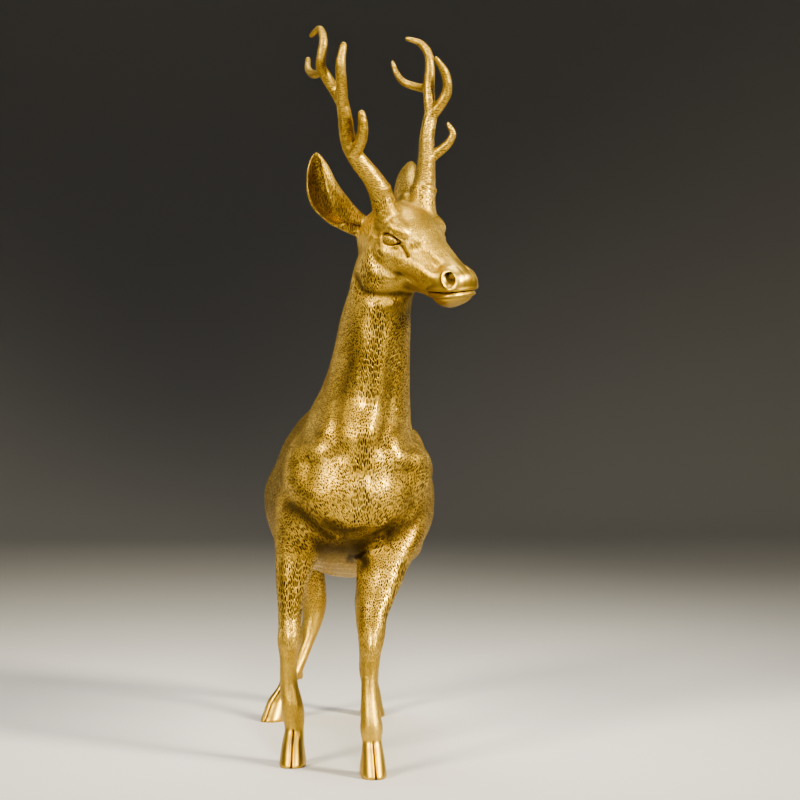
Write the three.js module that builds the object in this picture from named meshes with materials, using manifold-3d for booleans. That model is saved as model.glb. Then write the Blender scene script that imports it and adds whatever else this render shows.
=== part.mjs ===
// A cast brass stag standing on four hooves, its head turned to its left.
// Millimetres, +Z up. The stag looks along -Y and its left side is at +X.
// Its parts are lofted and tubed by three.js and joined into one casting.
import * as THREE from 'three';
import { mergeVertices } from 'three/addons/utils/BufferGeometryUtils.js';
import Module from 'manifold-3d';

const wasm = await Module();
wasm.setup();

// Driving sizes, in millimetres
const figureHeight = 380;       // soles to the highest antler tip
const earWall = 1.7;            // cast thickness of an ear
const earLength = 45;           // root to tip
const earWidth = 24;            // across the open cup
const beamThickness = 8;        // antler beam above its burr
const tipThickness = 2.2;       // blunt end of every tine
const hoofLength = 21;          // toe to heel
const hoofWidth = 14;           // across both toes
const hoofHeight = 17;          // sole to the hair line
const cleftWidth = 1.6;         // gap between the two toes
const mouthGap = 0.9;           // cut between the lips
const tailLength = 30;
const tailWidth = 9;

// The pose is drawn on a figure this tall, and every place in it is scaled from there
const drawnHeight = 380;
const scale = figureHeight / drawnHeight;

// Facets round each kind of form
const trunkSides = 20;
const neckSides = 16;
const headSides = 16;
const legSides = 10;
const antlerSides = 6;
const earSides = 10;

// Catmull-Rom value between b and c
function blend(a, b, c, d, t) {
  const t2 = t * t;
  const t3 = t2 * t;
  return 0.5 * (2 * b + (c - a) * t + (2 * a - 5 * b + 4 * c - d) * t2 + (3 * b - a - 3 * c + d) * t3);
}

// Smooth stations through the named ones, with so many steps between two neighbours
function smooth(stations, steps) {
  const last = stations.length - 1;
  const out = [];
  for (let i = 0; i < last; i++) {
    const a = stations[Math.max(i - 1, 0)];
    const b = stations[i];
    const c = stations[i + 1];
    const d = stations[Math.min(i + 2, last)];
    for (let k = 0; k < steps; k++) {
      out.push(b.map((_, j) => blend(a[j], b[j], c[j], d[j], k / steps)));
    }
  }
  out.push([...stations[last]]);
  return out;
}

// A closed skin over rings that all have the same number of points
function loft(rings) {
  const sides = rings[0].length;
  const positions = rings.flat().flatMap((p) => [p.x, p.y, p.z]);
  const faces = [];
  for (let r = 0; r + 1 < rings.length; r++) {
    for (let s = 0; s < sides; s++) {
      const next = (s + 1) % sides;
      const low = r * sides;
      const high = low + sides;
      faces.push(low + s, low + next, high + next, low + s, high + next, high + s);
    }
  }
  const middle = (ring) => ring.reduce((sum, p) => sum.add(p), new THREE.Vector3()).divideScalar(sides);
  const ends = [rings[0], rings[rings.length - 1]].map(middle);
  positions.push(...ends.flatMap((p) => [p.x, p.y, p.z]));
  const startCentre = rings.length * sides;
  const endCentre = startCentre + 1;
  const lastRing = (rings.length - 1) * sides;
  for (let s = 0; s < sides; s++) {
    const next = (s + 1) % sides;
    faces.push(startCentre, next, s);
    faces.push(endCentre, lastRing + s, lastRing + next);
  }
  const geometry = new THREE.BufferGeometry();
  geometry.setAttribute('position', new THREE.Float32BufferAttribute(positions, 3));
  geometry.setIndex(faces);
  return geometry;
}

// Signed volume, to tell whether a skin faces outwards
function volume(geometry) {
  const p = geometry.getAttribute('position');
  const index = geometry.getIndex().array;
  const a = new THREE.Vector3();
  const b = new THREE.Vector3();
  const c = new THREE.Vector3();
  let total = 0;
  for (let i = 0; i < index.length; i += 3) {
    a.fromBufferAttribute(p, index[i]);
    b.fromBufferAttribute(p, index[i + 1]);
    c.fromBufferAttribute(p, index[i + 2]);
    total += a.dot(b.cross(c)) / 6;
  }
  return total;
}

// A three.js geometry as a solid that can be joined and cut
function solid(source) {
  const bare = source.clone();
  bare.deleteAttribute('normal');
  bare.deleteAttribute('uv');
  const geometry = mergeVertices(bare, 1e-4);
  const triVerts = Uint32Array.from(geometry.getIndex().array);
  if (volume(geometry) < 0) {
    for (let i = 0; i < triVerts.length; i += 3) {
      [triVerts[i + 1], triVerts[i + 2]] = [triVerts[i + 2], triVerts[i + 1]];
    }
  }
  const vertProperties = Float32Array.from(geometry.getAttribute('position').array);
  return new wasm.Manifold(new wasm.Mesh({ numProp: 3, vertProperties, triVerts }));
}

const vector = (p) => new THREE.Vector3(p[0], p[1], p[2]).multiplyScalar(scale);

// A rounded ring: half widths along two axes, the second one different on its two sides.
// A flare above zero makes the +up half wider than the other.
function ring(centre, across, up, half, rise, drop, sides, flare = 0, power = 1) {
  const points = [];
  for (let s = 0; s < sides; s++) {
    const angle = (s / sides) * 2 * Math.PI;
    const c = Math.cos(angle);
    const d = Math.sin(angle);
    const x = Math.sign(c) * Math.abs(c) ** power * half * (1 + flare * d);
    const y = Math.sign(d) * Math.abs(d) ** power * (d > 0 ? rise : drop);
    points.push(centre.clone().addScaledVector(across, x).addScaledVector(up, y));
  }
  return points;
}

const acrossAxis = new THREE.Vector3(1, 0, 0);
const depthAxis = new THREE.Vector3(0, 1, 0);
const upAxis = new THREE.Vector3(0, 0, 1);

// An ellipsoid lump of muscle or bone, turned about Z
function lump(centre, radii, turn = 0) {
  const ball = new THREE.SphereGeometry(1, 10, 7);
  ball.rotateX(Math.PI / 2);
  ball.scale(radii[0] * scale, radii[1] * scale, radii[2] * scale);
  ball.rotateZ(turn);
  const place = vector(centre);
  ball.translate(place.x, place.y, place.z);
  return solid(ball);
}

// Trunk stations along the back: y, middle x, middle z, half width, rise, drop
const trunkStations = [
  [-76, -1, 141, 5, 6, 7],
  [-72, -1, 141, 17, 16, 18],
  [-62, -1, 142, 29, 29, 30],
  [-46, 0, 144, 37, 40, 40],
  [-25, 2, 144, 39, 46, 47],
  [5, 3, 141, 43, 47, 50.5],
  [38, 4, 138, 45.5, 47, 49],
  [68, 4, 139, 43.5, 47, 42],
  [92, 3, 144, 38.5, 41, 38],
  [110, 1, 147, 29, 33, 33],
  [121, 0, 148, 18, 22, 23],
  [126, 0, 148, 7, 8, 9],
];

function trunk() {
  const rings = smooth(trunkStations, 2).map(([y, x, z, half, rise, drop]) => {
    const centre = vector([x, y, z]);
    return ring(centre, acrossAxis, upAxis, half * scale, rise * scale, drop * scale, trunkSides, -0.2);
  });
  return solid(loft(rings));
}

// Neck stations from inside the chest to the skull: x, y, z, half width, half depth
const neckStations = [
  [0, -44, 126, 20, 22],
  [0, -42, 140, 31, 32],
  [1, -38, 157, 33, 38],
  [3, -36, 173, 29, 38],
  [6, -37, 189, 24.2, 32],
  [8.5, -42, 207, 20.8, 26.5],
  [10.4, -47, 225, 19, 23.5],
  [12.6, -51, 241, 17, 21],
  [16.4, -55, 257, 16.8, 19.5],
  [21, -58, 272, 15.5, 18],
  [24, -59, 281, 9, 11],
];

function neck() {
  const stations = smooth(neckStations, 2);
  const rings = stations.map(([x, y, z, half, depth], i) => {
    const before = stations[Math.max(i - 1, 0)];
    const after = stations[Math.min(i + 1, stations.length - 1)];
    const along = vector(after).sub(vector(before)).normalize();
    const across = acrossAxis.clone().addScaledVector(along, -along.x).normalize();
    const front = new THREE.Vector3().crossVectors(across, along).normalize();
    return ring(vector([x, y, z]), across, front, half * scale, depth * scale, depth * scale, neckSides);
  });
  return solid(loft(rings));
}

// The head has a frame of its own: forwards, to the stag's left, and up, from between the eyes
const headPlace = [32.2, -68, 272.4];
const headTurn = THREE.MathUtils.degToRad(40);
const headLean = THREE.MathUtils.degToRad(5);
const headForward = new THREE.Vector3(Math.sin(headTurn), -Math.cos(headTurn), 0);
const headLeft = new THREE.Vector3(
  Math.cos(headTurn) * Math.cos(headLean),
  Math.sin(headTurn) * Math.cos(headLean),
  Math.sin(headLean),
);
const headUp = new THREE.Vector3().crossVectors(headForward, headLeft).normalize();

function onHead(forward, left, up) {
  return vector(headPlace)
    .addScaledVector(headForward, forward * scale)
    .addScaledVector(headLeft, left * scale)
    .addScaledVector(headUp, up * scale);
}

// The skull runs down towards the nose at this angle
const faceSlope = THREE.MathUtils.degToRad(35);
const faceAlong = headForward.clone().multiplyScalar(Math.cos(faceSlope))
  .addScaledVector(headUp, -Math.sin(faceSlope));
const faceOut = headForward.clone().multiplyScalar(Math.sin(faceSlope))
  .addScaledVector(headUp, Math.cos(faceSlope));

function onFace(along, left, out) {
  return vector(headPlace)
    .addScaledVector(faceAlong, along * scale)
    .addScaledVector(headLeft, left * scale)
    .addScaledVector(faceOut, out * scale);
}

// Skull stations towards the nose: along, top, bottom, half width, flare towards the top
const skullStations = [
  [-32, -6, -22, 8, 0],
  [-28, 1, -28, 13.5, 0],
  [-20, 7.5, -32.5, 17, 0.02],
  [-10, 10, -33.5, 18, 0.08],
  [0, 9, -31.5, 17.5, 0.14],
  [10, 6.8, -27, 14, 0.1],
  [20, 5, -21.5, 11, 0.02],
  [30, 3.4, -18, 9.6, -0.04],
  [36, 2, -16.6, 9.8, -0.05],
  [40, -0.5, -14.8, 8.4, -0.04],
  [42.5, -4.5, -11, 4.5, 0],
];

function skull() {
  const rings = smooth(skullStations, 2).map(([along, top, bottom, half, flare]) => {
    const middle = (top + bottom) / 2;
    const reach = ((top - bottom) / 2) * scale;
    return ring(onFace(along, 0, middle), headLeft, faceOut, half * scale, reach, reach, headSides, flare, 0.92);
  });
  return solid(loft(rings));
}

// An ellipsoid lump whose radii lie along the face, across it and out of it
function faceLump(along, left, out, radii) {
  const ball = new THREE.SphereGeometry(1, 9, 6);
  ball.rotateX(Math.PI / 2);
  const basis = new THREE.Matrix4().makeBasis(
    faceAlong.clone().multiplyScalar(radii[0] * scale),
    headLeft.clone().multiplyScalar(radii[1] * scale),
    faceOut.clone().multiplyScalar(radii[2] * scale),
  );
  basis.setPosition(onFace(along, left, out));
  ball.applyMatrix4(basis);
  return solid(ball);
}

// Eyes, brows, cheeks, nose pad and lips, then nostrils and the cut of the mouth
function head() {
  let shape = skull();
  for (const side of [-1, 1]) {
    shape = shape.add(faceLump(-1, side * 16, 0.6, [4.2, 3.2, 3]));
    shape = shape.add(faceLump(-4, side * 12.6, 5.2, [8.5, 5.4, 3.8]));
    shape = shape.add(faceLump(-12, side * 12, -17, [15, 6.6, 12]));
    shape = shape.add(faceLump(34.5, side * 5.8, -3.2, [6, 4.6, 5]));
    shape = shape.add(faceLump(-23, side * 9, 5, [6, 6, 6]));
  }
  shape = shape.add(faceLump(33, 0, -14.4, [8, 7.4, 4.6]));
  for (const side of [-1, 1]) {
    shape = shape.subtract(faceLump(37, side * 9.2, -3.4, [2.6, 2.8, 1.9]));
  }
  const lips = new THREE.BoxGeometry(1, 1, 1);
  const basis = new THREE.Matrix4().makeBasis(
    faceAlong.clone().multiplyScalar(22 * scale),
    headLeft.clone().multiplyScalar(30 * scale),
    faceOut.clone().multiplyScalar(mouthGap),
  );
  basis.setPosition(onFace(40, 0, -11.6));
  lips.applyMatrix4(basis);
  const tongueWall = faceLump(27.5, 0, -11.6, [13.6, 7.6, 5]);
  return shape.subtract(solid(lips).subtract(tongueWall));
}

// A tube of changing radius along a smooth path; each place is x, y, z and radius
function horn(places, steps, roundTip = true) {
  const path = smooth(places, steps);
  const rings = [];
  let across = new THREE.Vector3(1, 0, 0);
  path.forEach((place, i) => {
    const before = path[Math.max(i - 1, 0)];
    const after = path[Math.min(i + 1, path.length - 1)];
    const along = vector(after).sub(vector(before)).normalize();
    across = across.addScaledVector(along, -across.dot(along)).normalize();
    const other = new THREE.Vector3().crossVectors(along, across);
    rings.push(ring(vector(place), across.clone(), other, place[3], place[3], place[3], antlerSides));
    if (roundTip && i === path.length - 1) {
      const tip = vector(place).addScaledVector(along, place[3] * 0.7);
      rings.push(ring(tip, across.clone(), other, place[3] * 0.45, place[3] * 0.45, place[3] * 0.45, antlerSides));
    }
  });
  return solid(loft(rings));
}

// Antler branches. Each place is x, y, z and a share of the beam's thickness at the root;
// every branch but the beam tapers to a blunt tip.
const rightAntler = {
  beam: [[16, -67, 281, 1.3], [13.8, -69.6, 288, 1.25], [11.4, -71.3, 297, 1.12], [6.6, -72.8, 303.5, 1.02],
    [-0.6, -74.1, 311.5, 0.98], [-5.6, -75, 320.5, 0.92], [-7.4, -77.4, 331.5, 0.86], [-9.5, -80, 342.5, 0.74]],
  brow: [[-4.6, -75.5, 313.5, 0.74], [-0.4, -80.5, 319, 0.72], [1.2, -84, 326.5, 0.64], [0.4, -85.6, 334.5, 0.44]],
  front: [[-9.1, -80.7, 340, 0.7], [-10, -86, 349.5, 0.66], [-10.6, -88.4, 359, 0.6], [-8.9, -87, 368.5, 0.42]],
  rear: [[-8.8, -79.9, 339, 0.74], [-13, -79.2, 346.5, 0.72], [-17, -78.9, 352.5, 0.68], [-20.1, -79.6, 358, 0.62],
    [-19.7, -80.6, 365, 0.56], [-18.8, -80, 371.5, 0.5], [-20.6, -76.5, 377.4, 0.42], [-24.6, -71, 374.2, 0.3]],
  spur: [[-19, -79.6, 356, 0.52], [-23.2, -73, 354.6, 0.5], [-25.9, -66.5, 357.5, 0.44], [-25.8, -62.5, 363, 0.34]],
};
const leftAntler = {
  beam: [[34, -56.5, 281, 1.3], [35, -54.2, 289, 1.22], [36.3, -52.1, 298.5, 1.1], [37.2, -48.4, 307.3, 1],
    [38.2, -43.8, 315.8, 0.96], [38.6, -40, 324.5, 0.92], [40.2, -37.9, 333.2, 0.86], [41.7, -37.5, 339.5, 0.8]],
  brow: [[38.4, -43.4, 312.5, 0.7], [43.6, -46, 316.6, 0.62], [49, -47.6, 321, 0.54], [51.6, -48.2, 326.4, 0.44],
    [49, -47.8, 331.2, 0.3]],
  front: [[41, -38, 336, 0.72], [46, -40.6, 342.2, 0.68], [49.2, -41.9, 349, 0.62], [48.2, -43, 357.5, 0.52],
    [43, -43.6, 365.4, 0.32]],
  rear: [[41, -37.7, 336, 0.74], [40.2, -36, 344.4, 0.74], [40.2, -34.2, 352.2, 0.7], [40.8, -33.2, 361, 0.6],
    [40, -32.8, 368.6, 0.54], [36, -30.8, 374.2, 0.46], [29, -27, 377, 0.28]],
  spur: [[40, -34.2, 350, 0.56], [34.4, -29, 351.6, 0.5], [28, -25, 354, 0.44], [24, -22.8, 359, 0.38],
    [21.9, -21.9, 365, 0.26]],
};

function antler(branches) {
  const thick = beamThickness / 2;
  const sized = (places) => places.map(([x, y, z, share]) => [x, y, z, Math.max(share * thick, tipThickness / 2)]);
  let shape = horn(sized(branches.beam), 1, false);
  for (const name of ['brow', 'front', 'rear', 'spur']) {
    shape = shape.add(horn(sized(branches[name]), name === 'rear' ? 1 : 2));
  }
  const [x, y, z] = branches.beam[2];
  const burr = [[x + 0.6, y, z - 3.2, thick * 1.1], [x + 0.3, y, z - 1.2, thick * 1.5],
    [x - 0.2, y, z + 0.8, thick * 1.42], [x - 0.6, y, z + 2.8, thick * 1.05]];
  return shape.add(horn(burr, 1, false));
}

// An ear: a leaf-shaped cup, open on the side that it faces
const earOutline = [
  [0, 0.42, 0.5],
  [0.12, 0.5, 0.56],
  [0.3, 0.82, 0.85],
  [0.5, 1, 1],
  [0.7, 0.9, 0.86],
  [0.86, 0.58, 0.55],
  [0.96, 0.24, 0.28],
  [1, 0.08, 0.12],
];
const earDepth = 0.42;          // depth of the cup as a share of its width
const earMargin = 0.4;          // how far the margin stands in front of the ear's middle
const cupLift = 1.6;            // how far the cup is cut out through the open side
const cupStart = 0.1;           // share of the length that stays solid at the root
const thinnestHalf = 0.3;       // half width of the cup at its tip
const thinnestBack = 0.25;      // depth of the cup at its tip

// Where each ear roots, which way it points and which way its cup opens
const rightEar = { root: [3.5, -53, 279], axis: [-25, -4, 36], facing: [0.1, -0.98, 0.1] };
const leftEar = { root: [31, -43, 282], axis: [2, 34, 30], facing: [1, 0.1, 0] };

function ear({ root, axis, facing }) {
  const along = new THREE.Vector3(...axis).normalize();
  const out = new THREE.Vector3(...facing);
  out.addScaledVector(along, -out.dot(along)).normalize();
  const across = new THREE.Vector3().crossVectors(along, out);
  const start = vector(root);
  const skin = (thinner, lift) => loft(smooth(earOutline, 1).map(([share, wide, deep]) => {
    const half = Math.max(wide * earWidth / 2 - thinner, thinnestHalf);
    const back = Math.max(deep * earWidth * earDepth - thinner, thinnestBack);
    const centre = start.clone().addScaledVector(along, share * earLength).addScaledVector(out, lift);
    return ring(centre, across, out, half, earMargin + lift, back, earSides);
  }));
  const cup = new THREE.BufferGeometry().copy(skin(earWall, cupLift));
  const keep = earLength * cupStart;
  cup.translate(along.x * keep, along.y * keep, along.z * keep);
  return solid(skin(0, 0)).subtract(solid(cup));
}

// Leg stations from inside the body down to the pastern: x, y, z, half width, half depth
const foreRight = [
  [-23, -34, 152, 11, 20],
  [-26, -35, 136, 15.5, 21],
  [-28.5, -37, 119, 14.6, 18],
  [-31, -41, 105, 11.4, 13.4],
  [-34, -45, 92, 8.2, 10],
  [-35, -48, 76, 6.2, 7.6],
  [-35.2, -51, 65.5, 6.7, 7.8],
  [-35.6, -50.5, 57, 5.3, 6.6],
  [-36, -51, 44, 4.6, 5.4],
  [-34, -52.5, 31, 5.9, 6.8],
  [-33.4, -52.5, 25, 6, 6.9],
  [-33, -54, 18, 5, 6],
  [-33.6, -55.5, 12, 5.4, 6.6],
];
const foreLeft = [
  [25, -34, 152, 11, 20],
  [26, -37, 136, 15.5, 22],
  [21.5, -46, 119, 16.5, 19],
  [14, -56, 104, 14, 14.4],
  [10.6, -65, 93, 11.2, 10.6],
  [7.4, -75, 80, 7.6, 8.2],
  [5.6, -81, 67, 6.9, 8.2],
  [4.8, -82.5, 59, 5.4, 6.8],
  [4.2, -85, 45, 4.4, 5.4],
  [4.5, -88, 31, 5.2, 6.6],
  [5, -89, 24, 6, 7],
  [5, -90.5, 17, 5.1, 6],
  [5.2, -92, 12, 5.4, 6.6],
];
const hindRight = [
  [-16, 80, 158, 12, 28],
  [-22, 84, 142, 17.5, 35],
  [-25.5, 86, 126, 17.5, 34],
  [-25, 89, 110, 15, 27],
  [-21.5, 95, 95, 11.6, 19],
  [-16, 104, 81, 8.8, 13],
  [-13, 112, 69, 7.2, 10.6],
  [-12.6, 116, 61, 7, 10.4],
  [-14.5, 113.5, 51, 5.8, 8],
  [-19.5, 108, 38, 4.7, 5.8],
  [-26, 102.5, 26, 5.8, 6.8],
  [-30, 99, 18, 5, 6],
  [-33.5, 96, 12, 5.4, 6.4],
];
const hindLeft = [
  [20, 82, 158, 12, 28],
  [26, 87, 142, 17.5, 35],
  [29.5, 90, 126, 17.5, 34],
  [28, 94, 110, 15, 27],
  [24, 102, 95, 11.6, 19],
  [21, 113, 81, 8.8, 13],
  [19.5, 122, 69, 7.2, 10.6],
  [19, 126, 61, 7, 10.4],
  [18.6, 123, 51, 5.8, 8],
  [18.6, 118, 38, 4.7, 5.8],
  [19.4, 114, 26, 5.8, 6.8],
  [20, 111.5, 18, 5, 6],
  [20.6, 110, 12, 5.4, 6.4],
];

// Hoof places: x and y of the sole's middle, and how far the toe points to the stag's left
const legs = [
  { stations: foreRight, sole: [-34, -58], toeOut: -8 },
  { stations: foreLeft, sole: [5.4, -94.5], toeOut: 4 },
  { stations: hindRight, sole: [-35.5, 93.5], toeOut: -42 },
  { stations: hindLeft, sole: [21, 107], toeOut: 8 },
];

const toeReach = 0.56;          // share of a hoof's length in front of its middle
const heelReach = 0.44;         // and behind it
const hoofLean = 0.9;           // how far the hoof's top follows the pastern
const cleftHeight = 0.9;        // share of the hoof's height that the cleft is cut to
const cleftMiddle = 0.28;       // height of the cleft's middle, as a share too

// A cloven hoof: an egg-shaped horn with a flat sole, split from the toe to past its middle
const hoofProfile = [
  [0, 1, 1],
  [0.5, 0.86, 0.84],
  [0.85, 0.76, 0.68],
  [1.1, 0.66, 0.58],
];

function hoof(top, sole, toeOut) {
  const turn = THREE.MathUtils.degToRad(toeOut);
  const toe = new THREE.Vector3(Math.sin(turn), -Math.cos(turn), 0);
  const side = new THREE.Vector3(Math.cos(turn), Math.sin(turn), 0);
  const ground = vector([sole[0], sole[1], 0]);
  const ankle = vector([top[0], top[1], 0]);
  const rings = hoofProfile.map(([rise, wide, long]) => {
    const centre = ground.clone().lerp(ankle, Math.min(rise, 1) * hoofLean);
    centre.z = rise * hoofHeight;
    const fore = long * hoofLength * toeReach;
    const heel = long * hoofLength * heelReach;
    return ring(centre, side, toe, wide * hoofWidth / 2, fore, heel, legSides);
  });
  const split = new THREE.BoxGeometry(cleftWidth, hoofLength, hoofHeight * cleftHeight);
  split.applyMatrix4(new THREE.Matrix4().makeBasis(side, toe, upAxis));
  const front = ground.clone().addScaledVector(toe, hoofLength * 0.5);
  split.translate(front.x, front.y, hoofHeight * cleftMiddle);
  return solid(loft(rings)).subtract(solid(split));
}

// Dewclaws: how far apart, behind and below the fetlock's station, and their radii
const clawSpread = 3;
const clawBack = 5.4;
const clawDrop = 3;
const clawRadii = [1.9, 2.6, 3.2];

function leg({ stations, sole, toeOut }) {
  const path = smooth(stations, 1);
  const rings = path.map(([x, y, z, half, depth]) => (
    ring(vector([x, y, z]), acrossAxis, depthAxis, half * scale, depth * scale, depth * scale, legSides)
  ));
  let shape = solid(loft(rings)).add(hoof(path[path.length - 1], sole, toeOut));
  const turn = THREE.MathUtils.degToRad(toeOut);
  const [x, y, z] = stations[stations.length - 3];
  for (const side of [-1, 1]) {
    const claw = [x + side * clawSpread * Math.cos(turn) - clawBack * Math.sin(turn),
      y + side * clawSpread * Math.sin(turn) + clawBack * Math.cos(turn), z - clawDrop];
    shape = shape.add(lump(claw, clawRadii));
  }
  return shape;
}

// The tail hangs from the end of the rump; its places are y, share of its drop and share of its width
const tailAcross = -2;
const tailTop = 168;
const tailRoot = [116, 170, 0.9];
const tailPlaces = [[125, 0, 1], [130.5, 0.35, 1], [132, 0.7, 0.8], [132, 1, 0.35]];

function tail() {
  const thick = tailWidth / 2;
  const [rootBack, rootHeight, rootShare] = tailRoot;
  const root = [tailAcross, rootBack, rootHeight, thick * rootShare];
  const hanging = tailPlaces.map(([back, share, wide]) => (
    [tailAcross, back, tailTop - tailLength * share, thick * wide]
  ));
  return horn([root, ...hanging], 1);
}

// Muscles that show from a step away: centre, radii, turn, tip
const muscles = [
  { at: [-25, -47, 150], size: [13.5, 17, 17], turn: 0.5 },
  { at: [27, -47, 151], size: [14, 17, 18], turn: -0.5 },
  { at: [-1, -62, 131], size: [17, 12, 14], turn: 0 },
  { at: [-28, -20, 144], size: [10, 18, 27], turn: 0.1 },
  { at: [31.5, -20, 145], size: [10, 18, 28], turn: -0.1 },
  { at: [1, 4, 180], size: [11, 24, 9], turn: 0 },
  { at: [-19, 92, 141], size: [15, 27, 25], turn: -0.25 },
  { at: [24, 94, 141], size: [15, 27, 25], turn: 0.25 },
  { at: [24, -40, 114], size: [13, 14, 12], turn: 0 },
  { at: [3, 45, 100], size: [26, 48, 11], turn: 0 },
];

function stag() {
  let shape = trunk().add(neck());
  for (const { at, size, turn } of muscles) {
    shape = shape.add(lump(at, size, turn));
  }
  for (const one of legs) {
    shape = shape.add(leg(one));
  }
  shape = shape.add(tail()).add(head());
  shape = shape.add(antler(rightAntler)).add(antler(leftAntler));
  shape = shape.add(ear(rightEar));
  return shape.add(ear(leftEar));
}

// The skin of a finished solid as a three.js geometry
function toGeometry(shape) {
  const mesh = shape.getMesh();
  const geometry = new THREE.BufferGeometry();
  const positions = [];
  for (let i = 0; i < mesh.numVert; i++) {
    for (let k = 0; k < 3; k++) {
      positions.push(mesh.vertProperties[i * mesh.numProp + k]);
    }
  }
  geometry.setAttribute('position', new THREE.Float32BufferAttribute(positions, 3));
  geometry.setIndex(Array.from(mesh.triVerts));
  return geometry;
}

const brass = new THREE.MeshStandardMaterial({ color: 0xb8924a, roughness: 0.38, metalness: 1 });
brass.name = 'antiqued brass';

const geometry = toGeometry(stag());
geometry.computeBoundingBox();
const box = geometry.boundingBox;
geometry.translate(-(box.min.x + box.max.x) / 2, -(box.min.y + box.max.y) / 2, 0);
geometry.computeVertexNormals();

const deer = new THREE.Mesh(geometry, brass);
deer.name = 'deer';

const figurine = new THREE.Group();
figurine.add(deer);

export default figurine;
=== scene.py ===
# A standing stag cast in brass: its forms, its chased coat and its worn finish, with patina and painted
# shade in its hollows and painted shade under it
import math

import bpy
import bmesh
import numpy as np
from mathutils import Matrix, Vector


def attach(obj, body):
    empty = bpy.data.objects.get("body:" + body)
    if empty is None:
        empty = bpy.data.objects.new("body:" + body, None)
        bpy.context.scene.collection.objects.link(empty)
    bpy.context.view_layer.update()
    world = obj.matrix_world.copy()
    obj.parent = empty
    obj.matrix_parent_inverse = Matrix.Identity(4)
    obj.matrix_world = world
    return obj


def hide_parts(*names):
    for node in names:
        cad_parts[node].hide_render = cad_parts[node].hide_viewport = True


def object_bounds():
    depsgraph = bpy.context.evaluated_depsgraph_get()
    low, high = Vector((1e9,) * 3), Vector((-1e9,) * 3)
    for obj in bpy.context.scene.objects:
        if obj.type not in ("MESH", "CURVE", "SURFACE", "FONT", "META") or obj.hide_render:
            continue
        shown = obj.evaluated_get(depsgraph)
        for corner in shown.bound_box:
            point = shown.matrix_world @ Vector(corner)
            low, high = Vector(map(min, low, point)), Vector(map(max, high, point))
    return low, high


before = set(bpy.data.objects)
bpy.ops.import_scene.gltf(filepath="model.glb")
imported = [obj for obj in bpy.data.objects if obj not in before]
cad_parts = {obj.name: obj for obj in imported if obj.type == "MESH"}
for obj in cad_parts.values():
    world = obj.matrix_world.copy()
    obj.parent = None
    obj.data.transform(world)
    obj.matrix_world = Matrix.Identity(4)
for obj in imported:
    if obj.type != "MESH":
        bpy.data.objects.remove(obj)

cad_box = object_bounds()

# The pose is drawn in millimetres on its own origin, between the four hooves
MM = 0.001
POSE_SHIFT = np.array([-7.70, -15.04, 0.0])

VOXEL = 0.62  # size of the voxels that fuse the forms
PIECE_TRIANGLES = 196000  # the finished skin is thinned to this many

HOOF_LENGTH = 21.0
HOOF_WIDTH = 14.0
HOOF_HEIGHT = 17.0
CLEFT_WIDTH = 1.6
BEAM_THICKNESS = 8.0  # antler beam above its burr
TIP_THICKNESS = 2.2  # blunt end of every tine
EAR_LENGTH = 45.0
EAR_WIDTH = 24.0
EAR_WALL = 1.9
TAIL_LENGTH = 30.0
TAIL_WIDTH = 9.0

# Points round each kind of form, and steps between two stations
TRUNK_SIDES = 72
NECK_SIDES = 56  # of the head too
LUMP_SIDES = 28
FACE_LUMP_SIDES = 24
HORN_SIDES = 18
BURR_SIDES = 28
LEG_SIDES = 36
HOOF_SIDES = 44
EAR_ARC_POINTS = 27
BODY_STEPS = 6
LEG_STEPS = 5
HORN_STEPS = 5
BURR_STEPS = 3
HOOF_STEPS = 3


# Stations and skins

def smooth(stations, steps):
    """Catmull-Rom stations, with so many steps between two neighbours."""
    rows = np.array(stations, float)
    last = len(rows) - 1
    out = []
    for i in range(last):
        a, b, c, d = rows[max(i - 1, 0)], rows[i], rows[i + 1], rows[min(i + 2, last)]
        for k in range(steps):
            t = k / steps
            out.append(0.5 * (2 * b + (c - a) * t + (2 * a - 5 * b + 4 * c - d) * t * t
                              + (3 * b - a - 3 * c + d) * t ** 3))
    out.append(rows[last])
    return np.array(out)


def unit(v):
    v = np.asarray(v, float)
    return v / np.linalg.norm(v)


def heading(path, i):
    """The direction of a path at one of its stations."""
    return unit(path[min(i + 1, len(path) - 1)][:3] - path[max(i - 1, 0)][:3])


def skin(rings):
    """A closed skin over rings of equally many points, with its faces turned outwards."""
    rings = np.array(rings)
    count, sides = rings.shape[:2]
    points = np.vstack([rings.reshape(-1, 3), rings[0].mean(0), rings[-1].mean(0)])
    here = np.arange(sides)
    after = (here + 1) % sides
    faces = []
    for r in range(count - 1):
        low, high = r * sides, (r + 1) * sides
        faces.append(np.stack([low + here, low + after, high + after], 1))
        faces.append(np.stack([low + here, high + after, high + here], 1))
    start, end = count * sides, count * sides + 1
    faces.append(np.stack([np.full(sides, start), after, here], 1))
    last = (count - 1) * sides
    faces.append(np.stack([np.full(sides, end), last + here, last + after], 1))
    faces = np.vstack(faces)
    a, b, c = (points[column] for column in faces.T)
    return points, faces[:, ::-1] if np.einsum("ij,ij->", a, np.cross(b, c)) < 0 else faces


def ring(centre, across, up, half, rise, drop, sides, flare=0.0, power=1.0):
    """A rounded ring; a flare above zero widens its upper half."""
    angle = np.arange(sides) / sides * 2 * math.pi
    c, s = np.cos(angle), np.sin(angle)
    x = np.sign(c) * np.abs(c) ** power * half * (1 + flare * s)
    y = np.sign(s) * np.abs(s) ** power * np.where(s > 0, rise, drop)
    return np.asarray(centre) + np.outer(x, across) + np.outer(y, up)


X, Y, Z = np.eye(3)
POLE_WIDTH = 1e-3  # the first and last ring of a ball, as a share of its width


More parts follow.
